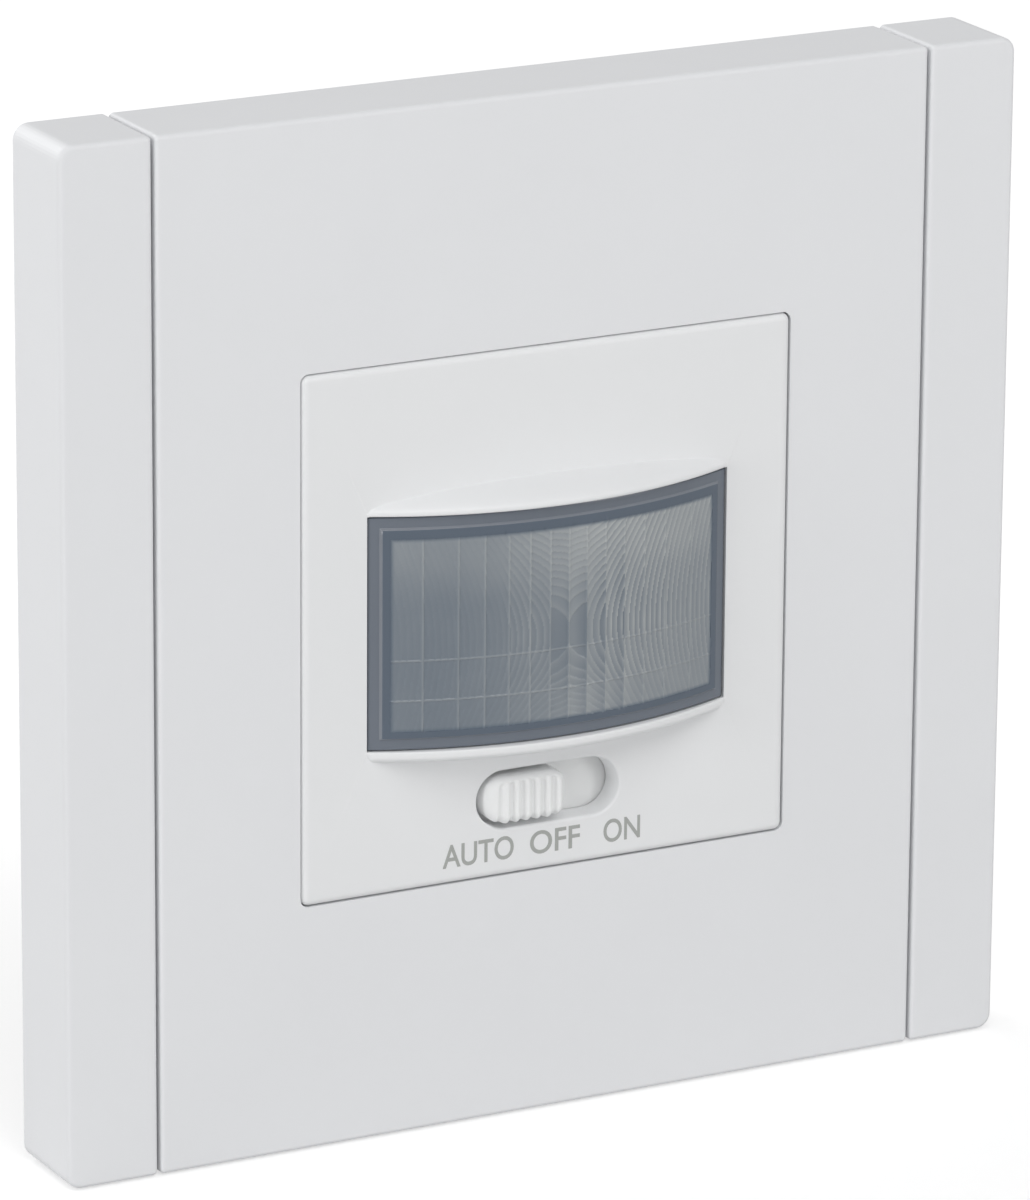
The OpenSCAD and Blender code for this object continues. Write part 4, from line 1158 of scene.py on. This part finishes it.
    def slot_draft(self, out_x: float, out_z: float) -> float:
        """Finds how far the slot's wall leans out, most at its lower right end.

        Args:
            out_x: X of the unit vector out of the slot.
            out_z: Z of that vector.

        Returns:
            The distance from the wall's foot to its edge.
        """
        low, high = self.slot_lean
        facing = out_x * self.slot_lean_side[0] + out_z * self.slot_lean_side[1]
        return low + (high - low) * max(0.0, facing)

    def window_outline(self, upper: list[Ring], lower: list[Ring]) -> Ring:
        """Outline of the flat front round the lens window and its lips.

        Args:
            upper: Rows of the upper lip.
            lower: Rows of the lower lip.

        Returns:
            The outline's points in order.
        """
        right_up = [row[-1] for row in reversed(upper[:-1])]
        right_down = [row[-1] for row in lower[:-1]]
        left_down = [row[0] for row in reversed(lower[:-1])]
        left_up = [row[0] for row in upper[:-1]]
        return [*upper[-1], *right_up, *right_down, *reversed(lower[-1]), *left_down, *left_up]


@dataclass(frozen=True)
class Swell:
    """A smooth change of a tone along a distance.

    Attributes:
        amount: What the tone changes by in all.
        start: Where the change starts, in millimetres.
        end: Where it ends.
    """

    amount: float
    start: float
    end: float

    def share(self, place: float) -> float:
        """Returns the share of the change that is reached at a place."""
        return ease(place, self.start, self.end)

    def at(self, place: float) -> float:
        """Returns how much of the change is reached at a place."""
        return self.amount * self.share(place)


@dataclass(frozen=True)
class PaintedFacetLight:
    """Painted light and shade of the lens's field, as a tone from 0 to 1.

    Attributes:
        base: Tone of the field's lower left.
        right: Painted reflection added towards the right.
        top: Painted light added towards the top.
        grooves: How much the grooves' painted glints show at the left.
        groove_glint_middle: What is added to that in the middle.
        groove_glint_right: What is added to that on the right.
        groove_glint_end: Share that the painted glints lose in the last columns.
        groove_mean: Mean tone of a groove.
        row_shares: Share of the painted glints that shows in each row of facets, from the top.
        facet_shade: How much a facet right of the middle is painted lighter at its left and darker
            at its right.
        facet_shade_end: Where this painted shading ends.
        facet_shade_middle: Place across a facet where this painted shading changes nothing.
        ridge: Painted highlight on the fine ridges at the left.
        ridge_loss: What they lose towards the right.
        sensor_shade: How much painted shade darkens the middle, where the sensor lies behind the
            lens.
        sensor_shade_end: Distance over which that runs out.
        sensor_shade_place: Place of that middle in X and Z.
        sensor_shade_squash: Height of that middle over its width, turned round.
        column: How far the columns' painted shading differs.
        column_turn: How their difference goes from column to column.
        border: Distances from the field's edge between which the tone sets in.
    """

    base: float = 0.2
    right: Swell = Swell(0.34, -12, 4)
    top: Swell = Swell(0.2, 1.5, 7)
    grooves: float = 0.04
    groove_glint_middle: Swell = Swell(0.16, -6.5, -4.5)
    groove_glint_right: Swell = Swell(0.36, 1, 4)
    groove_glint_end: Swell = Swell(0.4, 8, 12)
    groove_mean: float = 0.33
    row_shares: tuple[float, ...] = (1.0, 0.7, 0.3)
    facet_shade: Swell = Swell(0.35, -1, 1)
    facet_shade_end: Swell = Swell(1.0, 4, 9)
    facet_shade_middle: float = 0.4
    ridge: float = 0.16
    ridge_loss: Swell = Swell(0.1, -1, 3)
    sensor_shade: float = 0.12
    sensor_shade_end: Swell = Swell(1.0, 1, 4)
    sensor_shade_place: Flat = (0.5, -2.0)
    sensor_shade_squash: float = 0.7
    column: float = 0.045
    column_turn: float = 5.1
    border: Flat = (-0.1, 0.35)

    def ground(self, x: float, z: float) -> float:
        """Painted light of the field without its grooves and ridges, with painted shade over the
        sensor.

        Args:
            x: Place across the lens.
            z: Place along its height.

        Returns:
            The tone.
        """
        middle_x, middle_z = self.sensor_shade_place
        off = math.hypot(x - middle_x, self.sensor_shade_squash * (z - middle_z))
        sensor_shade = self.sensor_shade * (1 - self.sensor_shade_end.share(off))
        return self.base + self.right.at(x) + self.top.at(z) - sensor_shade

    def facet(self, x: float, z: float, left: float, right: float) -> float:
        """Painted shading that a facet's column adds to the tone.

        Args:
            x: Place across the lens.
            z: Place along its height.
            left: Left edge of the column.
            right: Right edge of the column.

        Returns:
            The tone that is added.
        """
        across = (x - left) / (right - left)
        facet_shade = self.facet_shade.at(x) * (1 - self.facet_shade_end.share(x)) * (1 - self.top.share(z))
        own = self.column * math.sin(self.column_turn * (left + right))
        return facet_shade * (self.facet_shade_middle - across) + own

    def groove(self, x: float, zone: float, row: int) -> float:
        """Painted glints that the grooves add to the tone.

        Args:
            x: Place across the lens.
            zone: Place in a ring of the grooves, from 0 to 1.
            row: Number of the row of facets, from the top.

        Returns:
            The tone that is added.
        """
        shown = self.grooves + self.groove_glint_middle.at(x) + self.groove_glint_right.at(x)
        shown *= self.row_shares[row] * (1 - self.groove_glint_end.at(x))
        return shown * ((1 - zone) ** 2 - self.groove_mean)


@dataclass
class FresnelLens:
    """The curved lens with a stepped rim and a field of grooved facets.

    Attributes:
        half: Half of the lens's width and height.
        bow_r: Radius of its bow.
        bulge: How far it stands out of the cover at its middle.
        thickness: Thickness of the lens.
        edge_r: Rounding of its outer edge.
        outer_band: Width of the rim.
        step_w: Width of the step from the rim to the band inside it.
        step_h: Height of that step.
        step_cells: Cells of the skin across that step.
        rim_insets: Places of the skin's points on the rim, from the outer edge.
        field_x: Left and right end of the field of facets.
        field_z: Lower and upper end of the field.
        field_gap: Width of the narrow cell outside the field's edge.
        column_lines: Lines between the columns of facets, on one side of the middle.
        row_lines: Lines between the rows of facets.
        ridge_w: Width of the fine ridges on these lines.
        ridge_h: Height of the ridges.
        zone_area: Growth of the grooves' squared radius, near their middle.
        zone_pitch: Distance between two grooves, further out.
        groove_depth: Depth of the grooves.
        centre_spread: How far a column's grooves are centred out of the lens's middle.
        centre_z: Height of the grooves' middle.
        cell: Size of the skin's cells in the field.
        painted_light: Painted light and shade of the field.
        edges: Edges of the columns, worked out from the lines.
    """

    half: Flat = (16.28, 9.73)
    bow_r: float = 39.156
    bulge: float = 3.6
    thickness: float = 0.9
    edge_r: float = 0.1
    outer_band: float = 0.85
    step_w: float = 0.16
    step_h: float = 0.2
    step_cells: int = 3
    rim_insets: tuple[float, ...] = (0.0, 0.04, 0.1, 0.3, 0.6)
    field_x: Flat = (-14.65, 14.65)
    field_z: Flat = (-8.2, 7.95)
    field_gap: float = 0.02
    column_lines: tuple[float, ...] = (1.65, 3.42, 5.24, 7.25, 9.4, 12.2)
    row_lines: tuple[float, ...] = (-2.25, -5.6)
    ridge_w: float = 0.1
    ridge_h: float = 0.05
    zone_area: float = 6.0
    zone_pitch: float = 0.52
    groove_depth: float = 0.04
    centre_spread: float = 2.8
    centre_z: float = -1.0
    cell: float = 0.08
    painted_light: PaintedFacetLight = PaintedFacetLight()
    edges: list[float] = field(default_factory=list)

    def __post_init__(self) -> None:
        """Works out the facets' edges from the middle to both sides of the field."""
        right = [0.0, *self.column_lines, self.field_x[1]]
        self.edges = [*[-x for x in reversed(right[1:])], *right]

    def surface(self, x: float) -> float:
        """Returns the depth of the smooth bow at x."""
        axis = DEPTHS.cover - self.bulge + self.bow_r
        return axis - math.sqrt(self.bow_r ** 2 - x * x)

    def column(self, x: float) -> Flat:
        """Finds the column of facets at a place.

        Args:
            x: Place across the lens.

        Returns:
            The column's left and right edge.
        """
        last = len(self.edges) - 2
        index = min(last, max(0, sum(1 for edge in self.edges[1:-1] if x >= edge)))
        return self.edges[index], self.edges[index + 1]

    def facet(self, x: float) -> float:
        """Finds the depth of the flat facet at a place.

        Args:
            x: Place across the lens.

        Returns:
            The depth along Y.
        """
        left, right = self.column(x)
        share = (x - left) / (right - left)
        return self.surface(left) * (1 - share) + self.surface(right) * share

    def zone(self, x: float, z: float) -> float:
        """Where a place lies in its ring of the facet's grooves.

        Args:
            x: Place across the lens.
            z: Place along its height.

        Returns:
            From 0 at the ring's inner edge to 1 at its outer edge.
        """
        middle = sum(self.column(x)) / 2
        radius = math.hypot(x - self.centre_spread * middle, z - self.centre_z)
        near = self.zone_area / (2 * self.zone_pitch)
        rings = min(radius, near) ** 2 / self.zone_area + max(0.0, radius - near) / self.zone_pitch
        return rings - math.floor(rings) if rings > 1 else 1.0

    def line(self, x: float, z: float) -> float:
        """Finds the fine ridges between the facets.

        Args:
            x: Place across the lens.
            z: Place along its height.

        Returns:
            1 on a ridge and 0 away from it.
        """
        nearest = min([abs(x - edge) for edge in self.edges[1:-1]]
                      + [abs(z - row) for row in self.row_lines])
        return 1 - ease(nearest, self.ridge_w / 2, self.ridge_w)

    def tone(self, x: float, z: float) -> float:
        """How much painted light a place in the field gets.

        Args:
            x: Place across the lens.
            z: Place along its height.

        Returns:
            From 0, the darkest, to 1.
        """
        painted_light = self.painted_light
        row = sum(1 for line in self.row_lines if z < line)
        # Painted highlight along the fine ridges between the facets.
        ridge = (painted_light.ridge - painted_light.ridge_loss.at(x)) * self.line(x, z)
        whole = (painted_light.ground(x, z) + painted_light.facet(x, z, *self.column(x))
                 + painted_light.groove(x, self.zone(x, z), row) + ridge)
        inside = min(x - self.field_x[0], self.field_x[1] - x,
                     z - self.field_z[0], self.field_z[1] - z)
        return whole * ease(inside, *painted_light.border)

    def in_field(self, x: float, z: float) -> bool:
        """Tells whether a place lies in the field of facets."""
        return (self.field_x[0] <= x <= self.field_x[1]
                and self.field_z[0] <= z <= self.field_z[1])

    def inset(self, x: float, z: float) -> float:
        """Returns the distance of a place from the lens's outer edge."""
        return min(self.half[0] - abs(x), self.half[1] - abs(z))

    def depth(self, x: float, z: float) -> float:
        """Depth of the lens's outer skin.

        Args:
            x: Place across the lens.
            z: Place along its height.

        Returns:
            The depth along Y.
        """
        if self.in_field(x, z):
            groove = self.groove_depth * self.zone(x, z)
            return self.facet(x) + groove - self.ridge_h * self.line(x, z)
        inset = self.inset(x, z)
        below = 1 - ease(inset, self.outer_band, self.outer_band + self.step_w)
        return self.surface(x) + self.step_h * below + rounding(inset, self.edge_r)

    def stations(self, half: float, inner: Flat) -> list[float]:
        """Places of the skin's points along one axis, closer at the steps of the rim.

        Args:
            half: Half of the lens's size along that axis.
            inner: Where the field begins and ends along it.

        Returns:
            The places in rising order.
        """
        step = self.step_w / self.step_cells
        rim = [*self.rim_insets, *[self.outer_band + i * step for i in range(self.step_cells + 1)]]
        count = math.ceil((inner[1] - inner[0]) / self.cell)
        places = [inset - half for inset in rim]
        places += [(places[-1] + inner[0]) / 2, inner[0] - self.field_gap]
        places += [inner[0] + (inner[1] - inner[0]) * i / count for i in range(count + 1)]
        after = [half - inset for inset in reversed(rim)]
        return [*places, inner[1] + self.field_gap, (inner[1] + after[0]) / 2, *after]

    def zone_of_skin(self, x: float, z: float) -> LensZone:
        """Finds the zone of the skin that a place lies in.

        Args:
            x: Place across the lens.
            z: Place along its height.

        Returns:
            The zone.
        """
        if self.in_field(x, z):
            return LensZone.FIELD
        inset = self.inset(x, z)
        if inset < self.outer_band:
            return LensZone.RIM
        return LensZone.STEP if inset < self.outer_band + self.step_w else LensZone.BAND

    def build(self) -> bpy.types.Object:
        """Builds the lens and lets it stand for the CAD lens.

        Returns:
            The new piece.
        """
        maker = MeshMaker()
        painted_light = maker.painted_light()
        xs = self.stations(self.half[0], self.field_x)
        zs = self.stations(self.half[1], self.field_z)
        skin = [[maker.vert(x, self.depth(x, z), z) for x in xs] for z in zs]
        # Each point carries its painted light and shade, which the field's finish turns into
        # colour.
        for row, z in zip(skin, zs):
            for point, x in zip(row, xs):
                point[painted_light] = self.tone(x, z)
        for j, (low, high) in enumerate(zip(skin, skin[1:])):
            for i in range(len(xs) - 1):
                zone = self.zone_of_skin((xs[i] + xs[i + 1]) / 2, (zs[j] + zs[j + 1]) / 2)
                maker.face(low[i], low[i + 1], high[i + 1], high[i], material=zone.value)
        self.close(maker, skin, xs)
        piece = maker.build("lens_window", [LENS_FINISHES[zone] for zone in LensZone],
                            Body.SWITCH, crease=30)
        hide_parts("fresnel_lens")
        log.info("built %s with %d facet columns", piece.name, len(self.edges) - 1)
        return piece

    def close(self, maker: MeshMaker, skin: list[Ring], xs: list[float]) -> None:
        """Adds the lens's smooth back and its sides, whose ends have the rim's finish.

        Args:
            maker: The mesh that they go into.
            skin: Rows of the outer skin.
            xs: Places of the skin's points across the lens.
        """
        back = [[maker.vert(x, self.surface(x) + self.thickness, z) for x in xs]
                for z in (-self.half[1], self.half[1])]
        maker.bridge(skin[0], back[0], closed=False)
        maker.bridge(skin[-1], back[1], closed=False)
        maker.bridge(back[0], back[1], closed=False)
        for end in (0, -1):
            side = [row[end] for row in skin]
            maker.fill([*side, back[1][end], back[0][end]])
        for polygon in maker.mesh.faces:
            if len(polygon.verts) == 3:
                polygon.material_index = LensZone.RIM.value


@dataclass
class ModeSlider:
    """The slider with its ribbed grip and the shutter that closes the slot.

    Attributes:
        rest: Place of the grip's middle in X and Z, at rest.
        grip_half: Half of the grip's width and height.
        front_y: Depth of the grip's front.
        edge_r: Rounding of the grip's edge.
        slope_from: Where the slopes of the left and the right end start, from the middle.
        slope_drop: How far a slope falls.
        slope_power: Roundness of a slope; higher is fuller.
        rib_pitch: Distance between two ribs.
        rib_depth: Depth of the grooves between the ribs.
        rib_notch: How far the grooves cut into the grip's lower side.
        rib_middle: Place of the ribs' middle.
        rib_reach: How far the ribs go from there.
        shoulder: Distances from the upper outline between which the grooves set in.
        notch_from: Distances below the middle between which the notches set in.
        rings: Rings of the skin, from the outline inwards.
        ring_reach: Share of the grip's half height that the last ring reaches.
        ring_power: How much closer the rings are at the outline.
        turn_steps: Segments in each round end of the grip.
        run_steps: Segments along each of its straight sides.
        shutter_y: Depth of the shutter's front.
        shutter_t: Thickness of the shutter.
        shutter_half: Half of the shutter's width and height.
        shutter_corner: Radius of its corners.
        shutter_edge: Width of its broken front edge.
    """

    rest: Flat = (-2.0, SLOT_Z)
    grip_half: Flat = (4.0, 2.0)
    front_y: float = DEPTHS.grip
    edge_r: float = 0.8
    slope_from: Flat = (2.4, 2.9)
    slope_drop: float = 1.5
    slope_power: float = 1.8
    rib_pitch: float = 0.96
    rib_depth: float = 0.28
    rib_notch: float = 0.1
    rib_middle: float = 0.4
    rib_reach: float = 3.36
    shoulder: Flat = (0.2, 0.6)
    notch_from: Flat = (0.8, 1.8)
    rings: int = 26
    ring_reach: float = 0.98
    ring_power: float = 1.5
    turn_steps: int = 64
    run_steps: int = 80
    shutter_y: float = DEPTHS.shutter
    shutter_t: float = 1.0
    shutter_half: Flat = (9.15, 3.15)
    shutter_corner: float = 0.6
    shutter_edge: float = 0.15

    def wave(self, x: float) -> float:
        """Finds the ribs along the grip.

        Args:
            x: Place along the grip, from its middle.

        Returns:
            0 on the ribs' backs and 1 at the bottom of the grooves between them.
        """
        along = x - self.rib_middle
        if abs(along) > self.rib_reach:
            return 0.0
        return 0.5 + 0.5 * math.cos(FULL_TURN * along / self.rib_pitch)

    def groove(self, x: float, z: float, inset: float) -> float:
        """Depth of the grooves between the ribs.

        Args:
            x: Place along the grip, from its middle.
            z: Place across the grip, from its middle.
            inset: Distance from the grip's outline.

        Returns:
            The groove's depth.
        """
        shown = ease(inset, *self.shoulder) if z > 0 else 1.0
        return self.rib_depth * self.wave(x) * shown

    def notched(self, x: float, z: float) -> float:
        """Returns z moved up where a groove runs out over the grip's lower side."""
        return z + self.rib_notch * self.wave(x) * ease(-z, *self.notch_from)

    def depth(self, x: float, z: float, inset: float) -> float:
        """Depth of the grip's skin.

        Args:
            x: Place along the grip, from its middle.
            z: Place across the grip, from its middle.
            inset: Distance from the grip's outline.

        Returns:
            The depth along Y.
        """
        start = self.slope_from[0 if x < 0 else 1]
        past = max(0.0, abs(x) - start) / (self.grip_half[0] - start)
        return (self.front_y + rounding(inset, self.edge_r) + self.groove(x, z, inset)
                + self.slope_drop * past ** self.slope_power)

    def outline(self, inset: float) -> list[Flat]:
        """Returns the grip's outline, moved inwards."""
        half_w, half_h = self.grip_half
        return stadium(half_w - inset, half_h - inset, self.turn_steps, self.run_steps)

    def build(self) -> bpy.types.Object:
        """Builds the slider and lets it stand for the CAD slider.

        Returns:
            The new piece.
        """
        maker = MeshMaker()
        skins = []
        for k in range(self.rings + 1):
            inset = self.ring_reach * self.grip_half[1] * (k / self.rings) ** self.ring_power
            skins.append([maker.vert(x + self.rest[0], self.depth(x, z, inset),
                                     self.notched(x, z) + self.rest[1])
                          for x, z in self.outline(inset)])
        base = maker.ring(self.outline(0.0), self.shutter_y, self.rest)
        maker.loft([base, *skins])
        self.close_middle(maker, skins[-1])
        self.shutter(maker, base)
        # The grip's finish is the lighter copy of the white plastic, with painted light.
        piece = maker.build("slider_grip", [FINISHES["slider_plastic"]], Body.SLIDER, crease=50)
        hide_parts("mode_slider")
        log.info("built %s", piece.name)
        return piece

    def close_middle(self, maker: MeshMaker, ring: Ring) -> None:
        """Closes the narrow strip that the last ring leaves, point by point across it.

        Args:
            maker: The mesh that the strip goes into.
            ring: The last ring.
        """
        count = len(ring)
        turn = self.turn_steps // 2
        order = [ring[(turn + i) % count] for i in range(count)]
        for i in range(count // 2):
            maker.face(order[i], order[i + 1], order[(count - i - 1) % count],
                       order[(count - i) % count])

    def shutter(self, maker: MeshMaker, base: Ring) -> None:
        """Adds the flat shutter round the grip's base.

        Args:
            maker: The mesh that it goes into.
            base: The grip's outline on the shutter's front.
        """
        edge = self.shutter_edge
        steps = [(edge, self.shutter_y), (0.0, self.shutter_y + edge),
                 (0.0, self.shutter_y + self.shutter_t)]
        rings = [maker.ring(self.plate(inset), y, self.rest) for inset, y in steps]
        maker.fill(rings[0], base)
        maker.loft(rings)
        maker.fill(rings[-1])

    def plate(self, inset: float) -> list[Flat]:
        """Outline of the shutter, a rectangle with round corners.

        Args:
            inset: How far it is moved inwards.

        Returns:
            The outline's points in order.
        """
        half_w, half_h = self.shutter_half
        side = rounded_square(half_h - inset, self.shutter_corner)
        return [(x + math.copysign(half_w - half_h, x), z) for x, z in side]


@dataclass(frozen=True)
class FaceLabel:
    """One of the generic words under the slider.

    Attributes:
        word: The word.
        left: Where it starts, along X.
        right: Where it ends.
    """

    word: str
    left: float
    right: float


@dataclass
class FaceLettering:
    """The generic words for the slider's three positions, printed on the cover.

    Attributes:
        labels: The words and their places.
        baseline: Height of the words' foot.
        cap_height: Height of the letters.
        front_y: Depth of the cover's front.
        ink: Thickness of the print.
        weight: How much heavier the strokes are, in units of the type.
        curve_steps: Segments in each piece of a letter's curve.
    """

    labels: tuple[FaceLabel, ...] = (FaceLabel("AUTO", -9.5, -3.0), FaceLabel("OFF", -1.5, 3.1),
                                     FaceLabel("ON", 5.3, 8.7))
    baseline: float = -20.8
    cap_height: float = 2.0
    front_y: float = DEPTHS.cover
    ink: float = 0.02
    weight: float = 0.011
    curve_steps: int = 6

    def build(self) -> list[bpy.types.Object]:
        """Builds the words and returns one piece for each of them."""
        return [self.print_word(label) for label in self.labels]

    def print_word(self, label: FaceLabel) -> bpy.types.Object:
        """Sets one word in the built-in type and fits it to its place.

        Args:
            label: The word and its place.

        Returns:
            The new piece.
        """
        name = f"label_{label.word.lower()}"
        curve = bpy.data.curves.new(name + "_type", "FONT")
        curve.body = label.word
        curve.resolution_u = self.curve_steps
        curve.extrude = self.ink
        curve.offset = self.weight
        typed = bpy.data.objects.new(name + "_type", curve)
        bpy.context.scene.collection.objects.link(typed)
        bpy.context.view_layer.update()
        data = bpy.data.meshes.new_from_object(typed.evaluated_get(
            bpy.context.evaluated_depsgraph_get()))
        bpy.data.objects.remove(typed)
        data.name = name
        self.fit(data, label)
        data.materials.clear()
        data.materials.append(LABEL_INK.material())
        piece = bpy.data.objects.new(name, data)
        bpy.context.scene.collection.objects.link(piece)
        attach(piece, Body.SWITCH.value)
        log.info("printed %s", name)
        return piece

    def fit(self, data: bpy.types.Mesh, label: FaceLabel) -> None:
        """Moves the flat type onto the cover, to the label's width and the cap height.

        Args:
            data: The word's mesh.
            label: The word and its place.
        """
        low = [min(v.co[i] for v in data.vertices) for i in range(3)]
        high = [max(v.co[i] for v in data.vertices) for i in range(3)]
        wide = (label.right - label.left) / (high[0] - low[0])
        tall = self.cap_height / (high[1] - low[1])
        thick = self.ink / (high[2] - low[2])
        for vertex in data.vertices:
            across, up, out = (vertex.co[i] - low[i] for i in range(3))
            vertex.co = Vector((label.left + across * wide, self.front_y - out * thick,
                                self.baseline + up * tall)) * MM


@dataclass(frozen=True)
class Lamp:
    """A soft studio lamp that looks at the object.

    Attributes:
        name: Name of the lamp.
        azimuth: Degrees to the right of the object's front.
        elevation: Degrees above the level.
        distance: Distance from the object in metres.
        size: Width of the lamp in metres.
        watts: Power of the lamp.
    """

    name: str
    azimuth: float
    elevation: float
    distance: float
    size: float
    watts: float

    def build(self) -> bpy.types.Object:
        """Makes the lamp.

        Returns:
            The lamp's object.
        """
        data = bpy.data.lights.new(self.name, "AREA")
        data.shape = "DISK"
        data.size = self.size
        data.energy = self.watts
        lamp = bpy.data.objects.new(self.name, data)
        back = direction(self.azimuth, self.elevation)
        lamp.location = back * self.distance
        lamp.rotation_mode = "QUATERNION"
        lamp.rotation_quaternion = back.to_track_quat("Z", "Y")
        bpy.context.scene.collection.objects.link(lamp)
        return lamp


@dataclass
class Studio:
    """Floor, light and camera.

    Attributes:
        azimuth: The camera's degrees to the right of the object's front.
        elevation: The camera's degrees above the level.
        roll: Degrees by which the camera leans.
        focal_px: Focal length in pixels of the photograph.
        offset: Place of the object's middle, as the camera sees it: right, down and away.
        sensor: Width of the camera's sensor.
        clip: Nearest and furthest distance that the camera sees, in metres.
        floor_half: Half of the floor's side in metres.
        floor_gap: Gap between the object and the floor.
        floor_colour: Colour of the floor, linear.
        floor_lift: What the floor adds to its light where it is seen.
        floor_glow: What it adds for the light that it gives the object.
        glossy_share: Share of the seen background that mirrors show.
        sky: Strength of the even light from all round.
        lamps: The lamps.
    """

    azimuth: float = -27.811
    elevation: float = 17.023
    roll: float = 0.412
    focal_px: float = 8135.7
    offset: Point = (-1.359, -1.555, 665.310)
    sensor: float = 36.0
    clip: Flat = (0.01, 50.0)
    floor_half: float = 6.0
    floor_gap: float = 0.2
    floor_colour: Colour = (0.6, 0.6, 0.6)
    floor_lift: float = 0.55
    floor_glow: float = 0.1
    glossy_share: float = 0.1
    sky: float = 0.29
    lamps: tuple[Lamp, ...] = (
        Lamp("key_lamp", -8.0, 52.0, 2.2, 1.7, 20.2),
        Lamp("left_lamp", -74.0, 8.0, 1.2, 0.4, 4.1),
        Lamp("right_lamp", 40.0, 9.0, 1.2, 0.4, 2.45),
        Lamp("rear_lamp", 206.0, 34.0, 1.2, 0.9, 6.2),
    )

    def build(self) -> None:
        """Sets up the floor, the light, the camera and the plain view."""
        self.lay_floor()
        self.light()
        for lamp in self.lamps:
            lamp.build()
            log.info("placed %s", lamp.name)
        self.place_camera()
        bpy.context.scene.view_settings.view_transform = "Standard"

    def seen_rays(self, work: NodeWork, low: float, high: float) -> Socket:
        """A value for rays that see the background, apart from those that light the object.

        Args:
            work: The node tree.
            low: The value for rays that light the object.
            high: The value for camera and transmission rays; glossy ones lie between the two.

        Returns:
            The value.
        """
        rays = work.add("LightPath").outputs
        seen = work.join("MULTIPLY", rays["Is Glossy Ray"], self.glossy_share)
        for name in ("Is Camera Ray", "Is Transmission Ray"):
            seen = work.join("MAXIMUM", seen, rays[name])
        return work.remap(seen, low, high, WHOLE)

    def floor_paint(self) -> bpy.types.Material:
        """Makes the floor's finish, white to the camera and with the object's shadow.

        Returns:
            The material.
        """
        material = bpy.data.materials.new("finish_floor")
        work = NodeWork(material)
        paint, glow, both = work.add("BsdfDiffuse"), work.add("Emission"), work.add("AddShader")
        paint.inputs["Color"].default_value = (*self.floor_colour, 1)
        work.link(self.seen_rays(work, self.floor_glow, self.floor_lift), glow.inputs["Strength"])
        work.link(paint.outputs[0], both.inputs[0])
        work.link(glow.outputs[0], both.inputs[1])
        work.link(both.outputs[0], work.add("OutputMaterial").inputs["Surface"])
        return material

    def lay_floor(self) -> None:
        """Lays a pale floor under the object."""
        low = CAD_BOX[0].z - self.floor_gap * MM
        half = self.floor_half
        data = bpy.data.meshes.new("studio_floor")
        data.from_pydata([(-half, -half, low), (half, -half, low), (half, half, low),
                          (-half, half, low)], [], [(0, 1, 2, 3)])
        data.materials.append(self.floor_paint())
        floor = bpy.data.objects.new("studio_floor", data)
        bpy.context.scene.collection.objects.link(floor)

    def light(self) -> None:
        """Gives even light from all round, and white where the background is seen."""
        world = bpy.data.worlds.new("studio_world")
        bpy.context.scene.world = world
        work = NodeWork(world)
        back = work.add("Background")
        back.inputs["Color"].default_value = (1, 1, 1, 1)
        work.link(self.seen_rays(work, self.sky, 1.0), back.inputs["Strength"])
        work.link(back.outputs[0], work.add("OutputWorld").inputs["Surface"])

    def place_camera(self) -> None:
        """Puts the camera where the photograph was taken from."""
        data = bpy.data.cameras.new("photo_camera")
        data.sensor_width = self.sensor
        data.lens = self.focal_px / IMAGE_LONG_SIDE * self.sensor
        data.clip_start, data.clip_end = self.clip
        roll = math.radians(self.roll)
        back = direction(self.azimuth, self.elevation)
        level = Vector((0, 0, 1)).cross(back).normalized()
        upright = back.cross(level)
        right = level * math.cos(roll) + upright * math.sin(roll)
        up = upright * math.cos(roll) - level * math.sin(roll)
        camera = bpy.data.objects.new("photo_camera", data)
        place = (back * self.offset[2] + up * self.offset[1] - right * self.offset[0]) * MM
        turned = Matrix((right, up, back)).transposed().to_4x4()
        camera.matrix_world = Matrix.Translation(place) @ turned
        bpy.context.scene.collection.objects.link(camera)
        bpy.context.scene.camera = camera


SOLIDS = (
    SolidGroup("frame", ("frame_panel", "frame_strip_left", "frame_strip_right")),
    SolidGroup("frame fixing", ("frame_carrier", "head_chassis", "lens_retainer")),
    SolidGroup("wall mount", ("bridge_plate", "claw_left", "claw_right", "claw_pins",
                              "claw_screw_left", "claw_screw_right"), Edge.FINE),
    SolidGroup("housing", ("rear_housing", "housing_screws"), Edge.SOFT),
    SolidGroup("sensor", ("sensor_board", "pir_can", "pir_window", "pir_base", "pir_spacer",
                          "light_sensor", "controller_chip", "chip_leads", "sensor_leads",
                          "lux_trimmer", "lux_dial", "time_trimmer", "time_dial",
                          "board_header")),
    SolidGroup("slide switch", ("switch_case", "switch_base", "switch_lever", "switch_wiper",
                                "switch_pins")),
    SolidGroup("power supply", ("power_board", "board_screws", "power_leads", "film_capacitor",
                                "electrolytic_capacitors", "varistor", "fuse_resistor",
                                "rectifier_diodes")),
    SolidGroup("relay", ("relay_base", "relay_case", "relay_bobbin", "relay_winding",
                         "relay_yoke", "relay_armature", "relay_contact")),
    SolidGroup("terminals", ("terminal_block", "terminal_clamps", "terminal_screws"), Edge.FINE),
)


def main() -> None:
    """Builds the pieces in order, dresses the solids and sets up the studio."""
    logging.basicConfig(level=logging.INFO, format="%(name)s: %(message)s")
    SensorCover().build()
    FresnelLens().build()
    ModeSlider().build()
    FaceLettering().build()
    for group in SOLIDS:
        group.dress()
    Studio().build()


if __name__ == "__main__":
    main()
